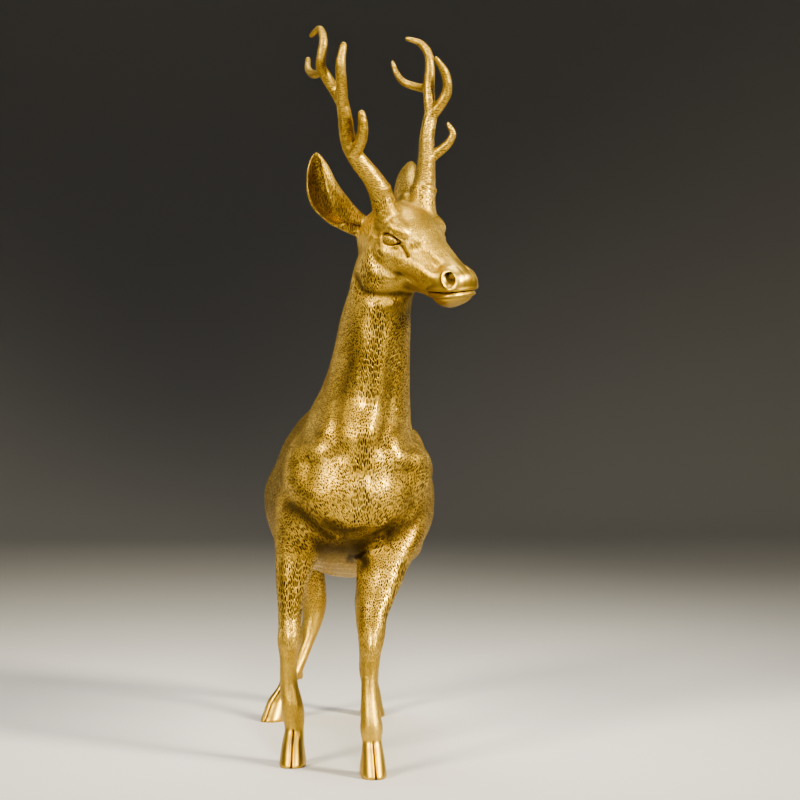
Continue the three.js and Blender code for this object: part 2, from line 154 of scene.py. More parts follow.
def ball(centre, axes, sides=LUMP_SIDES):
    """An ellipsoid whose three half axes are given as vectors."""
    axes = np.asarray(axes, float)
    rings = []
    for k in range(sides // 2 + 1):
        lift = -math.pi / 2 + math.pi * k / (sides // 2)
        wide = max(math.cos(lift), POLE_WIDTH)
        middle = np.asarray(centre) + axes[2] * math.sin(lift)
        rings.append(ring(middle, axes[0] * wide, axes[1] * wide, 1, 1, 1, sides))
    return skin(rings)


def lump(centre, radii, turn=0.0):
    """An ellipsoid turned about Z."""
    c, s = math.cos(turn), math.sin(turn)
    return ball(centre, [np.array([c, s, 0]) * radii[0], np.array([-s, c, 0]) * radii[1], Z * radii[2]])


# Trunk and neck

# Along the back: y, middle x, middle z, half width, rise, drop
TRUNK = [
    [-76, -1, 141, 5, 6, 7], [-72, -1, 141, 17, 16, 18], [-62, -1, 142, 29, 29, 30],
    [-46, 0, 144, 37, 40, 40], [-25, 2, 144, 39, 46, 47], [5, 3, 141, 43, 47, 50.5],
    [38, 4, 138, 45.5, 47, 49], [68, 4, 139, 43.5, 47, 42], [92, 3, 144, 38.5, 41, 38],
    [110, 1, 147, 29, 33, 33], [121, 0, 148, 18, 22, 23], [126, 0, 148, 7, 8, 9],
]
TRUNK_FLARE = -0.2  # below zero, so it is wider below its middle than above

# Up the neck: x, y, z, half width, half depth
NECK = [
    [0, -44, 126, 20, 22], [0, -42, 140, 31, 32], [1, -38, 157, 33, 38], [3, -36, 173, 29, 38],
    [6, -37, 189, 24.2, 32], [8.5, -42, 207, 20.8, 26.5], [10.4, -47, 225, 19, 23.5],
    [12.6, -51, 241, 17, 21], [16.4, -55, 257, 16.8, 19.5], [21, -58, 272, 15.5, 18],
    [24, -59, 281, 9, 11],
]


def trunk():
    return skin([ring([x, y, z], X, Z, half, rise, drop, TRUNK_SIDES, TRUNK_FLARE)
                 for y, x, z, half, rise, drop in smooth(TRUNK, BODY_STEPS)])


def neck():
    path = smooth(NECK, BODY_STEPS)
    rings = []
    for i, (x, y, z, half, depth) in enumerate(path):
        along = heading(path, i)
        across = unit(X - along * along[0])
        rings.append(ring([x, y, z], across, np.cross(across, along), half, depth, depth, NECK_SIDES))
    return skin(rings)


# Muscles that show from a step away: centre, radii, turn
MUSCLES = [
    ([-25, -47, 150], [13.5, 17, 17], 0.5),  # points of the shoulders
    ([27, -47, 151], [14, 17, 18], -0.5),
    ([-1, -62, 131], [17, 12, 14], 0),  # breast
    ([-28, -20, 144], [10, 18, 27], 0.1),  # shoulder blades
    ([31.5, -20, 145], [10, 18, 28], -0.1),
    ([1, 4, 180], [11, 24, 9], 0),  # withers
    ([-19, 92, 141], [15, 27, 25], -0.25),  # haunches
    ([24, 94, 141], [15, 27, 25], 0.25),
    ([24, -40, 114], [13, 14, 12], 0),  # top of the lifted fore leg
    ([3, 45, 100], [26, 48, 11], 0),  # belly
]

# The head's own frame: forwards, to the stag's left, and up, from between the eyes

HEAD_PLACE = np.array([32.2, -68, 272.4])
HEAD_TURN = math.radians(40)
HEAD_LEAN = math.radians(5)
FACE_SLOPE = math.radians(35)  # the skull runs down towards the nose at this angle
HEAD_FORWARD = np.array([math.sin(HEAD_TURN), -math.cos(HEAD_TURN), 0])
HEAD_LEFT = np.array([
    math.cos(HEAD_TURN) * math.cos(HEAD_LEAN),
    math.sin(HEAD_TURN) * math.cos(HEAD_LEAN),
    math.sin(HEAD_LEAN),
])
HEAD_UP = np.cross(HEAD_FORWARD, HEAD_LEFT)
FACE_ALONG = HEAD_FORWARD * math.cos(FACE_SLOPE) - HEAD_UP * math.sin(FACE_SLOPE)
FACE_OUT = HEAD_FORWARD * math.sin(FACE_SLOPE) + HEAD_UP * math.cos(FACE_SLOPE)


def on_face(along, left, out):
    """A place by how far along the face it lies, to the stag's left, and out of the face."""
    return HEAD_PLACE + FACE_ALONG * along + HEAD_LEFT * left + FACE_OUT * out


def face_lump(along, left, out, radii):
    return ball(on_face(along, left, out),
                [FACE_ALONG * radii[0], HEAD_LEFT * radii[1], FACE_OUT * radii[2]], FACE_LUMP_SIDES)


# Along the face: along, top, bottom, half width, flare towards the top
SKULL = [
    [-32, -6, -22, 8, 0], [-28, 1, -28, 13.5, 0], [-20, 7.5, -32, 17, 0.02],
    [-10, 10, -32.5, 17.4, 0.06], [0, 9, -30, 16.6, 0.1], [10, 6.8, -26, 13.6, 0.06],
    [20, 5, -21.5, 10.8, -0.02], [30, 4, -18.6, 9.8, -0.14], [36, 3.6, -17.2, 10, -0.16],
    [39.4, 2.4, -14.4, 9.4, -0.14], [41.4, -0.6, -11, 7, 0], [42.3, -3, -8, 3.4, 0],
]
SKULL_WIDER = 0.5  # against what the smoothing takes away
SKULL_TALLER = 0.4
SKULL_POWER = 0.92  # below one, so its sections are a little square

# Lumps on both sides of the skull: along, left, out, radii
PAIRED_LUMPS = [
    (-4, 13.4, -2, [7.5, 5, 5]),  # eye
    (-6, 13, 3.2, [9, 6.2, 4.8]),  # brow
    (-9, 10.8, -16, [19, 6.8, 12.4]),  # cheek
    (34, 5.6, -2.6, [6.4, 4.8, 5.4]),  # nose
    (-23, 9, 5, [6, 6, 6]),  # root of the ear
]
LOWER_LIP = (30.2, 0, -15, [8.4, 8.4, 5.2])


def head_forms():
    rings = []
    for along, top, bottom, half, flare in smooth(SKULL, BODY_STEPS):
        half, reach = half + SKULL_WIDER, (top - bottom) / 2 + SKULL_TALLER
        rings.append(ring(on_face(along, 0, (top + bottom) / 2), HEAD_LEFT, FACE_OUT,
                          half, reach, reach, NECK_SIDES, flare, SKULL_POWER))
    forms = [skin(rings)]
    for side in (-1, 1):
        forms += [face_lump(along, side * left, out, radii) for along, left, out, radii in PAIRED_LUMPS]
    forms.append(face_lump(*LOWER_LIP))
    return forms


# Antlers

SWELL = 1.1  # fuller than the named thickness
TIP_ROUNDING = ((0.45, 0.85), (0.75, 0.5))  # reach past the last place and width, in radii
BURR_RINGS = ((-2.8, 0.88), (-0.9, 1.07), (0.7, 1.09), (2.4, 0.88))  # step along the beam, width
BURR_PLACE = 2  # the place of the beam that carries the burr

# Each place is x, y, z and a share of the beam's thickness
RIGHT_ANTLER = {
    "beam": [
        [16, -67, 279, 1.75], [13.8, -69.6, 287, 1.6], [10.8, -71.3, 296, 1.36],
        [6, -72.8, 303.5, 1.16], [-0.6, -74.1, 311.5, 1.06], [-5.6, -75, 320.5, 0.96],
        [-7.4, -77.4, 331.5, 0.88], [-9.5, -80, 342.5, 0.74]
    ],
    "brow": [
        [-4.6, -75.5, 313.5, 0.74], [-0.4, -80.5, 319, 0.72], [1.2, -84, 326.5, 0.64],
        [0.4, -85.6, 334.5, 0.44]
    ],
    "front": [
        [-9.1, -80.7, 340, 0.7], [-10, -86, 349.5, 0.66], [-10.6, -88.4, 359, 0.6],
        [-8.9, -87, 368.5, 0.42]
    ],
    "rear": [
        [-8.8, -79.9, 339, 0.74], [-13, -79.2, 346.5, 0.72], [-17, -78.9, 352.5, 0.68],
        [-20.1, -79.6, 358, 0.62], [-19.7, -80.6, 365, 0.56], [-18.8, -80, 371.5, 0.5],
        [-20.6, -76.5, 377.4, 0.42], [-24.6, -71, 374.2, 0.3]
    ],
    "spur": [
        [-19, -79.6, 356, 0.52], [-23.2, -73, 354.6, 0.5], [-25.9, -66.5, 357.5, 0.44],
        [-25.8, -62.5, 363, 0.34]
    ],
}
LEFT_ANTLER = {
    "beam": [
        [33.4, -56.5, 278, 2.1], [34.2, -54.6, 287, 1.8], [35.6, -52.1, 297, 1.5],
        [36.9, -48.6, 305.5, 1.22], [38.1, -43.8, 315.8, 1.03], [38.6, -40, 324.5, 0.92],
        [40.2, -37.9, 333.2, 0.86], [41.7, -37.5, 339.5, 0.8]
    ],
    "brow": [
        [38.4, -43.4, 312.5, 0.7], [43.6, -46, 316.6, 0.62], [49, -47.6, 321, 0.54],
        [51.6, -48.2, 326.4, 0.44], [49, -47.8, 331.2, 0.3]
    ],
    "front": [
        [41, -38, 336, 0.72], [46, -40.6, 342.2, 0.68], [49.2, -41.9, 349, 0.62],
        [48.2, -43, 357.5, 0.52], [43, -43.6, 365.4, 0.32]
    ],
    "rear": [
        [41, -37.7, 336, 0.74], [40.2, -36, 344.4, 0.74], [40.2, -34.2, 352.2, 0.7],
        [40.8, -33.2, 361, 0.6], [40, -32.8, 368.6, 0.54], [36, -30.8, 374.2, 0.46],
        [29, -27, 377, 0.28]
    ],
    "spur": [
        [40, -34.2, 350, 0.56], [34.4, -29, 351.6, 0.5], [28, -25, 354, 0.44], [24, -22.8, 359, 0.38],
        [21.9, -21.9, 365, 0.26]
    ],
}


def horn(places, steps=HORN_STEPS, sides=HORN_SIDES):
    """A tube of changing radius; each place is x, y, z and radius."""
    path = smooth(places, steps)
    across = X
    rings = []
    for i, place in enumerate(path):
        along = heading(path, i)
        across = unit(across - along * (across @ along))
        other = np.cross(along, across)
        rings.append(ring(place[:3], across, other, place[3], place[3], place[3], sides))
    radius = path[-1][3]
    for reach, share in TIP_ROUNDING:
        rings.append(ring(path[-1][:3] + along * radius * reach, across, other,
                          radius * share, radius * share, radius * share, sides))
    return skin(rings)


def antler(branches):
    thick = BEAM_THICKNESS / 2 * SWELL
    forms = []
    for places in branches.values():
        sized = [[x, y, z, max(share * thick, TIP_THICKNESS / 2)] for x, y, z, share in places]
        forms.append(horn(sized))
    below, at, above = np.array(branches["beam"])[BURR_PLACE - 1:BURR_PLACE + 2]
    lean = unit(above[:3] - below[:3])
    girth = at[3] * thick
    burr = [[*(at[:3] + lean * step), girth * wide] for step, wide in BURR_RINGS]
    return forms + [horn(burr, BURR_STEPS, BURR_SIDES)]


# Ears: a leaf-shaped shell, open on the side that it faces

# Share of the length, width, depth, and how far the middle bows away from the antler
EAR_OUTLINE = [
    [-0.16, 0.4, 0.5, 0], [-0.06, 0.5, 0.66, 0.6], [0, 0.54, 0.7, 1.6], [0.14, 0.62, 0.74, 4.4],
    [0.3, 0.74, 0.88, 7.2], [0.48, 0.78, 0.96, 8.4], [0.65, 0.72, 0.86, 7.4], [0.8, 0.58, 0.64, 4.8],
    [0.91, 0.4, 0.42, 2.6], [0.97, 0.24, 0.26, 1], [1, 0.1, 0.12, 0.2],
]
# Share of the length, and the degrees by which the margin rolls forward
EAR_ROLL = [
    [-0.16, 80], [0, 80], [0.14, 110], [0.26, 112], [0.4, 92], [0.6, 80], [0.8, 62], [0.92, 34], [1, 4],
]
EAR_DEPTH = 0.42  # depth behind the margins, as a share of the width
ROLL_REACH = 0.5  # the rolled margin's reach forward, as a share of that depth
THICKEST_WALL = 0.7  # the wall's limit, as a share of the half width and the depth
CUP_START = 0.14  # share of the length at which the cup opens
CUP_RISE = 0.14
CUP_FLOOR = 0.9  # thickness of the cup's floor, in walls

# Root, direction, facing, hand, share of the bow and breadth
EARS = [
    ([3.5, -53, 279], [-25, -4, 36], [0.1, -0.98, 0.1], 1, 1, 1),
    ([31, -43, 282], [2, 34, 30], [1, 0.1, 0], -1, 0.1, 1.25),
]


def ear(root, axis, facing, hand, bend, breadth):
    """The margin nearer the antler rolls forward over the cup."""
    along = unit(axis)
    out = unit(np.array(facing) - along * (np.array(facing) @ along))
    across = np.cross(along, out) * hand
    roll_share, roll_angle = np.array(EAR_ROLL).T
    rings = []
    for share, wide, deep, bow in smooth(EAR_OUTLINE, BODY_STEPS):
        half = wide * breadth * EAR_WIDTH / 2
        back = deep * EAR_WIDTH * EAR_DEPTH
        wall = min(EAR_WALL, half * THICKEST_WALL, back * THICKEST_WALL)
        cup = min(1.0, max(0.0, (share - CUP_START) / CUP_RISE))
        roll = math.radians(np.interp(share, roll_share, roll_angle))
        arc = np.linspace(-roll, math.pi, EAR_ARC_POINTS)
        centre = np.array(root, float) + along * share * EAR_LENGTH - across * bow * bend
        c, d = np.cos(arc), np.sin(arc)
        reach = np.where(d > 0, back, back * ROLL_REACH)
        inside = (reach - wall * CUP_FLOOR) * d * np.where(d > 0, cup, 1.0)
        outer = centre + np.outer(half * c, across) - np.outer(reach * d, out)
        inner = centre + np.outer((half - wall) * c, across) - np.outer(inside, out)
        rings.append(np.vstack([outer, inner[::-1]]))
    return skin(rings)


# Legs and hooves

# The sole's middle, the toe's turn in degrees, and down the leg: x, y, z, half width, half depth
LEGS = {
    "fore_right": {"sole": [-34, -58], "toe_out": -8, "path": [
        [-23, -34, 152, 11, 20], [-26, -35, 136, 15.5, 21], [-28.5, -37, 119, 14.6, 18],
        [-31, -41, 105, 11.4, 13.4], [-34, -45, 92, 8.2, 10], [-35, -48, 76, 6.2, 7.6],
        [-35.2, -51, 65.5, 6.7, 7.8], [-35.6, -50.5, 57, 5.3, 6.6], [-36, -51, 44, 4.6, 5.4],
        [-34, -52.5, 31, 5.9, 6.8], [-33.4, -52.5, 25, 6, 6.9], [-33, -54, 18, 5, 6],
        [-33.6, -55.5, 12, 5.4, 6.6]
    ]},
    "fore_left": {"sole": [5.4, -94.5], "toe_out": 4, "path": [
        [25, -34, 152, 11, 20], [26, -37, 136, 15.5, 22], [21.5, -46, 119, 16.5, 19],
        [14, -56, 104, 14, 14.4], [10.6, -65, 93, 11.2, 10.6], [7.4, -75, 80, 7.6, 8.2],
        [5.6, -81, 67, 6.9, 8.2], [4.8, -82.5, 59, 5.4, 6.8], [4.2, -85, 45, 4.4, 5.4],
        [4.5, -88, 31, 5.2, 6.6], [5, -89, 24, 6, 7], [5, -90.5, 17, 5.1, 6], [5.2, -92, 12, 5.4, 6.6]
    ]},
    "hind_right": {"sole": [-35.5, 93.5], "toe_out": -42, "path": [
        [-16, 80, 158, 12, 28], [-22, 84, 142, 17.5, 35], [-25.5, 86, 126, 17.5, 34],
        [-25, 89, 110, 15, 27], [-21.5, 95, 95, 11.6, 19], [-16, 104, 81, 8.8, 13],
        [-13, 112, 69, 7.2, 10.6], [-12.6, 116, 61, 7, 10.4], [-14.5, 113.5, 51, 5.8, 8],
        [-19.5, 108, 38, 4.7, 5.8], [-26, 102.5, 26, 5.8, 6.8], [-30, 99, 18, 5, 6],
        [-33.5, 96, 12, 5.4, 6.4]
    ]},
    "hind_left": {"sole": [21, 107], "toe_out": 8, "path": [
        [20, 82, 158, 12, 28], [26, 87, 142, 17.5, 35], [29.5, 90, 126, 17.5, 34],
        [28, 94, 110, 15, 27], [24, 102, 95, 11.6, 19], [21, 113, 81, 8.8, 13],
        [19.5, 122, 69, 7.2, 10.6], [19, 126, 61, 7, 10.4], [18.6, 123, 51, 5.8, 8],
        [18.6, 118, 38, 4.7, 5.8], [19.4, 114, 26, 5.8, 6.8], [20, 111.5, 18, 5, 6],
        [20.6, 110, 12, 5.4, 6.4]
    ]},
}
# Share of the height, width, length
HOOF_PROFILE = [
    [0, 1, 1], [0.06, 1.01, 1.01], [0.3, 0.94, 0.88], [0.6, 0.85, 0.72], [0.85, 0.79, 0.58],
    [1.1, 0.7, 0.46],
]
TOE_SHARE = 0.56  # share of the hoof's length before its middle
HEEL_SHARE = 0.44
HOOF_POWER = 0.86  # below one, so its outline is a little square
CLEFT_PLACE = 0.55  # the cleft runs just inside the toe
CLEFT_HEEL = 0.4
FRONT_CUT = (0.34, -1.7)  # radius in widths of the cleft, and height
SOLE_CUT = (0.4, -1.5)

# The two dewclaws stand behind the place above the pastern
CLAW_PLACE = -3
CLAW_SIDE = 3.5
CLAW_BACK = 3.3
CLAW_DROP = 2
CLAW_RADII = [1.8, 2, 2.8]

# Down the tail: y, height at its start, share of its length below that, share of its thickness
TAIL = [
    (116, 170, 0, 0.9), (125, 168, 0, 1), (130.5, 168, 0.35, 1), (131.6, 168, 0.7, 0.92),
    (131.6, 170, 1, 0.6),
]
TAIL_MIDDLE = -2


def hoof_frame(path, sole, toe_out):
    """The toe's direction, the side's, and the hoof's middle at any height."""
    turn = math.radians(toe_out)
    toe = np.array([math.sin(turn), -math.cos(turn), 0])
    side = np.array([math.cos(turn), math.sin(turn), 0])
    knots = np.array([[sole[0], sole[1], 0], path[-1][:3], path[-2][:3], path[-3][:3]], float)

    def middle(z):
        x, y = (np.interp(z, knots[:, 2], knots[:, column]) for column in (0, 1))
        return np.array([x, y, z])
    return toe, side, middle


def hoof(path, sole, toe_out):
    """Rounded at the toe, drawn in towards the pastern."""
    toe, side, middle = hoof_frame(path, sole, toe_out)
    rings = []
    for rise, wide, long in smooth(HOOF_PROFILE, HOOF_STEPS):
        length = long * HOOF_LENGTH
        rings.append(ring(middle(rise * HOOF_HEIGHT), side, toe, wide * HOOF_WIDTH / 2,
                          length * TOE_SHARE, length * HEEL_SHARE, HOOF_SIDES, 0, HOOF_POWER))
    return skin(rings)


def cleft_path(path, sole, toe_out):
    """Down the front of a hoof, between its toes."""
    toe, _, middle = hoof_frame(path, sole, toe_out)
    return [middle(rise * HOOF_HEIGHT) + toe * long * HOOF_LENGTH * CLEFT_PLACE
            for rise, _, long in HOOF_PROFILE]


def hooves_cleft(clay):
    for spec in LEGS.values():
        toe, _, middle = hoof_frame(**spec)
        front = cleft_path(**spec)
        below = [middle(0) - toe * HOOF_LENGTH * CLEFT_HEEL, front[0]]
        for path, (share, height) in ((front, FRONT_CUT), (below, SOLE_CUT)):
            # Both cuts are darkened fully with painted shade
            stroke(clay, path, CLEFT_WIDTH * share, height, fade=False, dark=1)
    clay.refresh()


def leg(path, sole, toe_out):
    rings = [ring([x, y, z], X, Y, half, depth, depth, LEG_SIDES)
             for x, y, z, half, depth in smooth(path, LEG_STEPS)]
    forms = [skin(rings), hoof(path, sole, toe_out)]
    toe, side, _ = hoof_frame(path, sole, toe_out)
    middle = np.array(path[CLAW_PLACE][:3]) - Z * CLAW_DROP
    for hand in (-1, 1):
        forms.append(lump(middle + side * hand * CLAW_SIDE - toe * CLAW_BACK, CLAW_RADII))
    return forms


def tail():
    thick = TAIL_WIDTH / 2
    return horn([[TAIL_MIDDLE, y, z - TAIL_LENGTH * below, thick * wide] for y, z, below, wide in TAIL])


def rough_forms():
    forms = [trunk(), neck()]
    forms += [lump(at, size, turn) for at, size, turn in MUSCLES]
    for spec in LEGS.values():
        forms += leg(**spec)
    forms.append(tail())
    forms += head_forms()
    forms += antler(RIGHT_ANTLER) + antler(LEFT_ANTLER)
    forms += [ear(*spec) for spec in EARS]
    return forms


# From forms to one skin

def placed(name, data):
    thing = bpy.data.objects.new(name, data)
    bpy.context.scene.collection.objects.link(thing)
    return thing


def mesh_object(name, points, faces):
    mesh = bpy.data.meshes.new(name)
    mesh.from_pydata(points, [], faces)
    mesh.update()
    return placed(name, mesh)


def applied(thing):
    """The object with its modifiers worked into its mesh."""
    bpy.context.view_layer.update()
    evaluated = thing.evaluated_get(bpy.context.evaluated_depsgraph_get())
    mesh = bpy.data.meshes.new_from_object(evaluated)
    thing.modifiers.clear()
    old = thing.data
    thing.data = mesh
    bpy.data.meshes.remove(old)
    return thing


def fused(forms):
    """One closed skin round all the forms, by voxels, in millimetres while it is modelled."""
    points, faces, start = [], [], 0
    for p, f in forms:
        points.append(p)
        faces.append(f + start)
        start += len(p)
    stag = mesh_object("stag", np.vstack(points).tolist(), np.vstack(faces).tolist())
    remesh = stag.modifiers.new("skin", "REMESH")
    remesh.mode = "VOXEL"
    remesh.voxel_size = VOXEL
    return applied(stag)


def largest_body(thing):
    """Drops closed-off inner skins that the voxels may leave."""
    bm = bmesh.new()
    bm.from_mesh(thing.data)
    seen = set()
    bodies = []
    for seed in bm.verts:
        if seed in seen:
            continue
        seen.add(seed)
        body = [seed]
        for vert in body:
            fresh = {edge.other_vert(vert) for edge in vert.link_edges} - seen
            seen.update(fresh)
            body.extend(fresh)
        bodies.append(body)
    bodies.sort(key=len)
    for body in bodies[:-1]:
        bmesh.ops.delete(bm, geom=body, context="VERTS")
    bm.to_mesh(thing.data)
    bm.free()


def read(items, name, width, kind=np.float64):
    flat = np.empty(len(items) * width, kind)
    items.foreach_get(name, flat)
    return flat.reshape(-1, width)


class Clay:
    """The vertices of a mesh as arrays, to be smoothed and modelled."""

    def __init__(self, thing):
        self.mesh = thing.data
        self.p = read(self.mesh.vertices, "co", 3)
        self.a, self.b = read(self.mesh.edges, "vertices", 2, np.int64).T
        # dark holds painted shade laid into carved creases, grooves, pits and clefts
        self.dark = np.zeros(len(self.p))
        self.degree = np.bincount(np.concatenate([self.a, self.b]), minlength=len(self.p)).astype(float)
        self.refresh()

    def mean_of_neighbours(self, values):
        a, b = self.a, self.b
        columns = []
        for column in values.T:
            total = np.bincount(a, column[b], len(column)) + np.bincount(b, column[a], len(column))
            columns.append(total / self.degree)
        return np.stack(columns, 1)

    def refresh(self):
        """Puts the places back into the mesh and reads its normals."""
        self.mesh.vertices.foreach_set("co", self.p.ravel())
        self.mesh.update()
        self.n = read(self.mesh.vertex_normals, "vector", 3)

    def smooth(self, rounds, where, strengths=(0.5,)):
        for strength in strengths * rounds:
            self.p = self.p + (self.mean_of_neighbours(self.p) - self.p) * (strength * where)[:, None]
        self.refresh()

    def push(self, height):
        self.p = self.p + self.n * height[:, None]

    def model(self, index, height, shade):
        """Raises some of the points along their normals, and darkens them with painted shade."""
        self.p[index] += self.n[index] * height[:, None]
        self.dark[index] = np.maximum(self.dark[index], shade)


def ramp(value, low, high):
    """From nothing at the low end to one at the high end, eased at both."""
    t = np.clip((value - low) / (high - low), 0, 1)
    return t * t * (3 - 2 * t)


def hump(value, middle, width):
    return np.exp(-((value - middle) / width) ** 2)


def between(value, low, high):
    return (value > low) & (value < high)


def near_path(points, path):
    """Distance from each point to a polyline, and how far along it the nearest place is."""
    best = np.full(len(points), np.inf)
    share = np.zeros(len(points))
    path = np.array(path, float)
    for i, (a, b) in enumerate(zip(path[:-1], path[1:])):
        line = b - a
        t = np.clip((points - a) @ line / (line @ line), 0, 1)
        distance = np.linalg.norm(points - a - np.outer(t, line), axis=1)
        closer = distance < best
        best = np.where(closer, distance, best)
        share = np.where(closer, (i + t) / (len(path) - 1), share)
    return best, share


def near_flat_path(first, second, path):
    """The same for points and a path that have two places each."""
    flat = np.stack([first, second, np.zeros(len(first))], 1)
    return near_path(flat, [[a, b, 0] for a, b in path])


STROKE_REACH = 3  # radii round a path within which it is worked
# The darkening along a stroke is painted shade
DARK_SPREAD = 1.1  # the darkening's radius, in radii of the stroke
# Where along a path a stroke comes in and goes out
FADES = ((0, 0.18), (0.82, 1))
FRONT_FADES = ((-0.1, 0.25), (0.75, 1.1))
FACE_FADES = ((0, 0.2), (0.8, 1))


def faded(amount, share, fades):
    return amount * ramp(share, *fades[0]) * (1 - ramp(share, *fades[1]))


def stroke(clay, path, radius, height, fade=True, dark=0):
    """Raises a ridge, or cuts a groove where the height is below zero, along a path in space, and
    darkens it with painted shade where dark is above zero.
    """
    low = np.min(path, 0) - radius * STROKE_REACH
    high = np.max(path, 0) + radius * STROKE_REACH
    index = np.nonzero(np.all(between(clay.p, low, high), axis=1))[0]
    distance, share = near_path(clay.p[index], path)
    amount = height * hump(distance, 0, radius)
    if fade:
        amount = faded(amount, share, FADES)
    clay.model(index, amount, dark * hump(distance / radius, 0, DARK_SPREAD))


# The front of breast and throat: its facing and heights, and where shade and modelling end
FRONT_FACING = (0.05, 0.4)
FRONT_HEIGHTS = (70, 245)
SHADE_END = (-26, -4)
MODEL_END = (-44, -24)


def front_relief(clay, path, radius, height, dark):
    """The same on the breast and the throat, by places across and up, seen from in front."""
    x, y, z = clay.p.T
    facing = -clay.n[:, 1]
    index = np.nonzero((facing > FRONT_FACING[0]) & (y < SHADE_END[1]) & between(z, *FRONT_HEIGHTS))[0]
    distance, share = near_flat_path(x[index], z[index], path)
    amount = height * hump(distance, 0, radius) * ramp(facing[index], *FRONT_FACING)
    amount = faded(amount, share, FRONT_FADES)
    # Painted shade in the breast's furrows, fading out further back
    shade = dark * amount / height * (1 - ramp(y[index], *SHADE_END))
    clay.model(index, amount * (1 - ramp(y[index], *MODEL_END)), shade)


def face_places(points):
    offset = points - HEAD_PLACE
    return offset @ FACE_ALONG, offset @ HEAD_LEFT, offset @ FACE_OUT


# The face: ends along it and out of it, and half its breadth
FACE_ENDS = (-30, 48)
FACE_DEPTHS = (-40, 20)
FACE_HALF = 24


def face_stroke(clay, path, radius, height, fade, inner, dark):
    """The same on both sides of the face, from some way off its middle outwards."""
    along, left, out = face_places(clay.p)
    near = between(along, *FACE_ENDS) & between(out, *FACE_DEPTHS)
    for side in (-1, 1):
        index = np.nonzero(near & between(left * side, inner, FACE_HALF))[0]
        distance, share = near_flat_path(along[index], out[index], path)
        amount = height * hump(distance, 0, radius)
        if fade:
            amount = faded(amount, share, FACE_FADES)
        clay.model(index, amount, dark * hump(distance, 0, radius))


# The eye, the nostril and the mouth

# A window holds its ends along the face, its distance off the middle, its ends out of the face
EYE = (-3.7, -2.2)
EYE_WINDOW = ((-18.7, 11.3), 7, (-13.2, 8.8))
EYE_LONG = 4.9
EYE_TALL = 2.7
EYE_TILT = math.radians(15)
EYE_NARROWING = 0.3  # how much lower the eye is at its front corner
EYE_BULGE = 1.55
EYE_SET = 0.2
LID_EDGE = (-0.6, 0.9)
# Round the eye: place and width in radii, height below it, and what is added above it
CREASE = (1.04, 0.16, 0.6, 1.2)
LID = (1.38, 0.24, 0.12, 0.5)
# Painted shade round the eye's rim, heavier above the eye
EYE_LINE_SHADE = (1.06, 0.2, 0.95, 0.25)

NOSTRIL = (34.8, -1)
NOSTRIL_WINDOW = ((26, 44), 3, (-10, 8))
NOSTRIL_LONG = 3.8
NOSTRIL_TALL = 2.8
NOSTRIL_TILT = math.radians(-30)
NOSTRIL_BEND = 0.1
NOSTRIL_RIM = (1.4, 0.28)  # place and width in radii
RIM_HEIGHT = 0.6
PIT_EDGE = (0.62, 1.08)
PIT_DEPTH = 4.6
PIT_INWARD = (0.85, 0.4, 0.15)  # towards the middle, back and out
# Painted shade inside the pit, and where it fades out
PIT_SHADE = 0.9
PIT_SHADE_EDGE = (0.75, 1.15)


def tilted_places(clay, side, window, centre, tilt):
    """The points in a window on one side of the face, by tilted places from a centre."""
    along, left, out = face_places(clay.p)
    inside = between(along, *window[0]) & (left * side > window[1]) & between(out, *window[2])
    near = np.nonzero(inside)[0]
    a, o = along[near] - centre[0], out[near] - centre[1]
    c, s = math.cos(tilt), math.sin(tilt)
    return near, a * c + o * s, o * c - a * s


def eye(clay, side):
    """An almond ball under a heavy upper lid, with a thin rim below and painted shade round its rim,
    heavier above.
    """
    near, u, v = tilted_places(clay, side, EYE_WINDOW, EYE, EYE_TILT)
    tall = EYE_TALL * (1 - EYE_NARROWING * np.clip(u / EYE_LONG, 0, 1) ** 2)
    reach = np.sqrt((u / EYE_LONG) ** 2 + (v / tall) ** 2)
    above = ramp(v, *LID_EDGE)

    def around(middle, width, below, more):
        return hump(reach, middle, width) * (below + more * above)

    bulge = (EYE_BULGE * np.sqrt(np.clip(1 - reach ** 2, 0, 1)) - EYE_SET) * (reach < 1)
    clay.model(near, bulge - around(*CREASE) + around(*LID), around(*EYE_LINE_SHADE))


def nostril(clay, side):
    """A comma-shaped opening with a raised rim and painted shade in its pit."""
    near, u, v = tilted_places(clay, side, NOSTRIL_WINDOW, NOSTRIL, NOSTRIL_TILT)
    reach = np.sqrt((u / NOSTRIL_LONG) ** 2 + ((v - NOSTRIL_BEND * u) / NOSTRIL_TALL) ** 2)
    rim = hump(reach, *NOSTRIL_RIM) * RIM_HEIGHT
    pit = 1 - ramp(reach, *PIT_EDGE)
    middle, back, out = PIT_INWARD
    inward = -HEAD_LEFT * side * middle - FACE_ALONG * back + FACE_OUT * out
    clay.p[near] += clay.n[near] * rim[:, None] + np.outer(pit * PIT_DEPTH, inward)
    clay.dark[near] = np.maximum(clay.dark[near], PIT_SHADE * (1 - ramp(reach, *PIT_SHADE_EDGE)))


MOUTH_WINDOW = ((20, 48), 14, 7)  # ends along the face, half breadth, and height to both sides
MOUTH_LEVEL = -4.8
MUZZLE_END = 42
MOUTH_SLOPE = 0.66
MOUTH_CORNER = (22.5, 27.5)
# Above and below the cut: place, width, height
MOUTH_LINES = [
    (0, 0.62, -1.5),  # the cut itself
    (1.9, 1.1, 0.65),  # upper lip
    (-1.9, 1.0, 0.55),  # lower lip
    (-3.6, 0.7, -0.35),  # fold below it
]
# Width of the painted shade along the cut
MOUTH_SHADE_WIDTH = 0.6


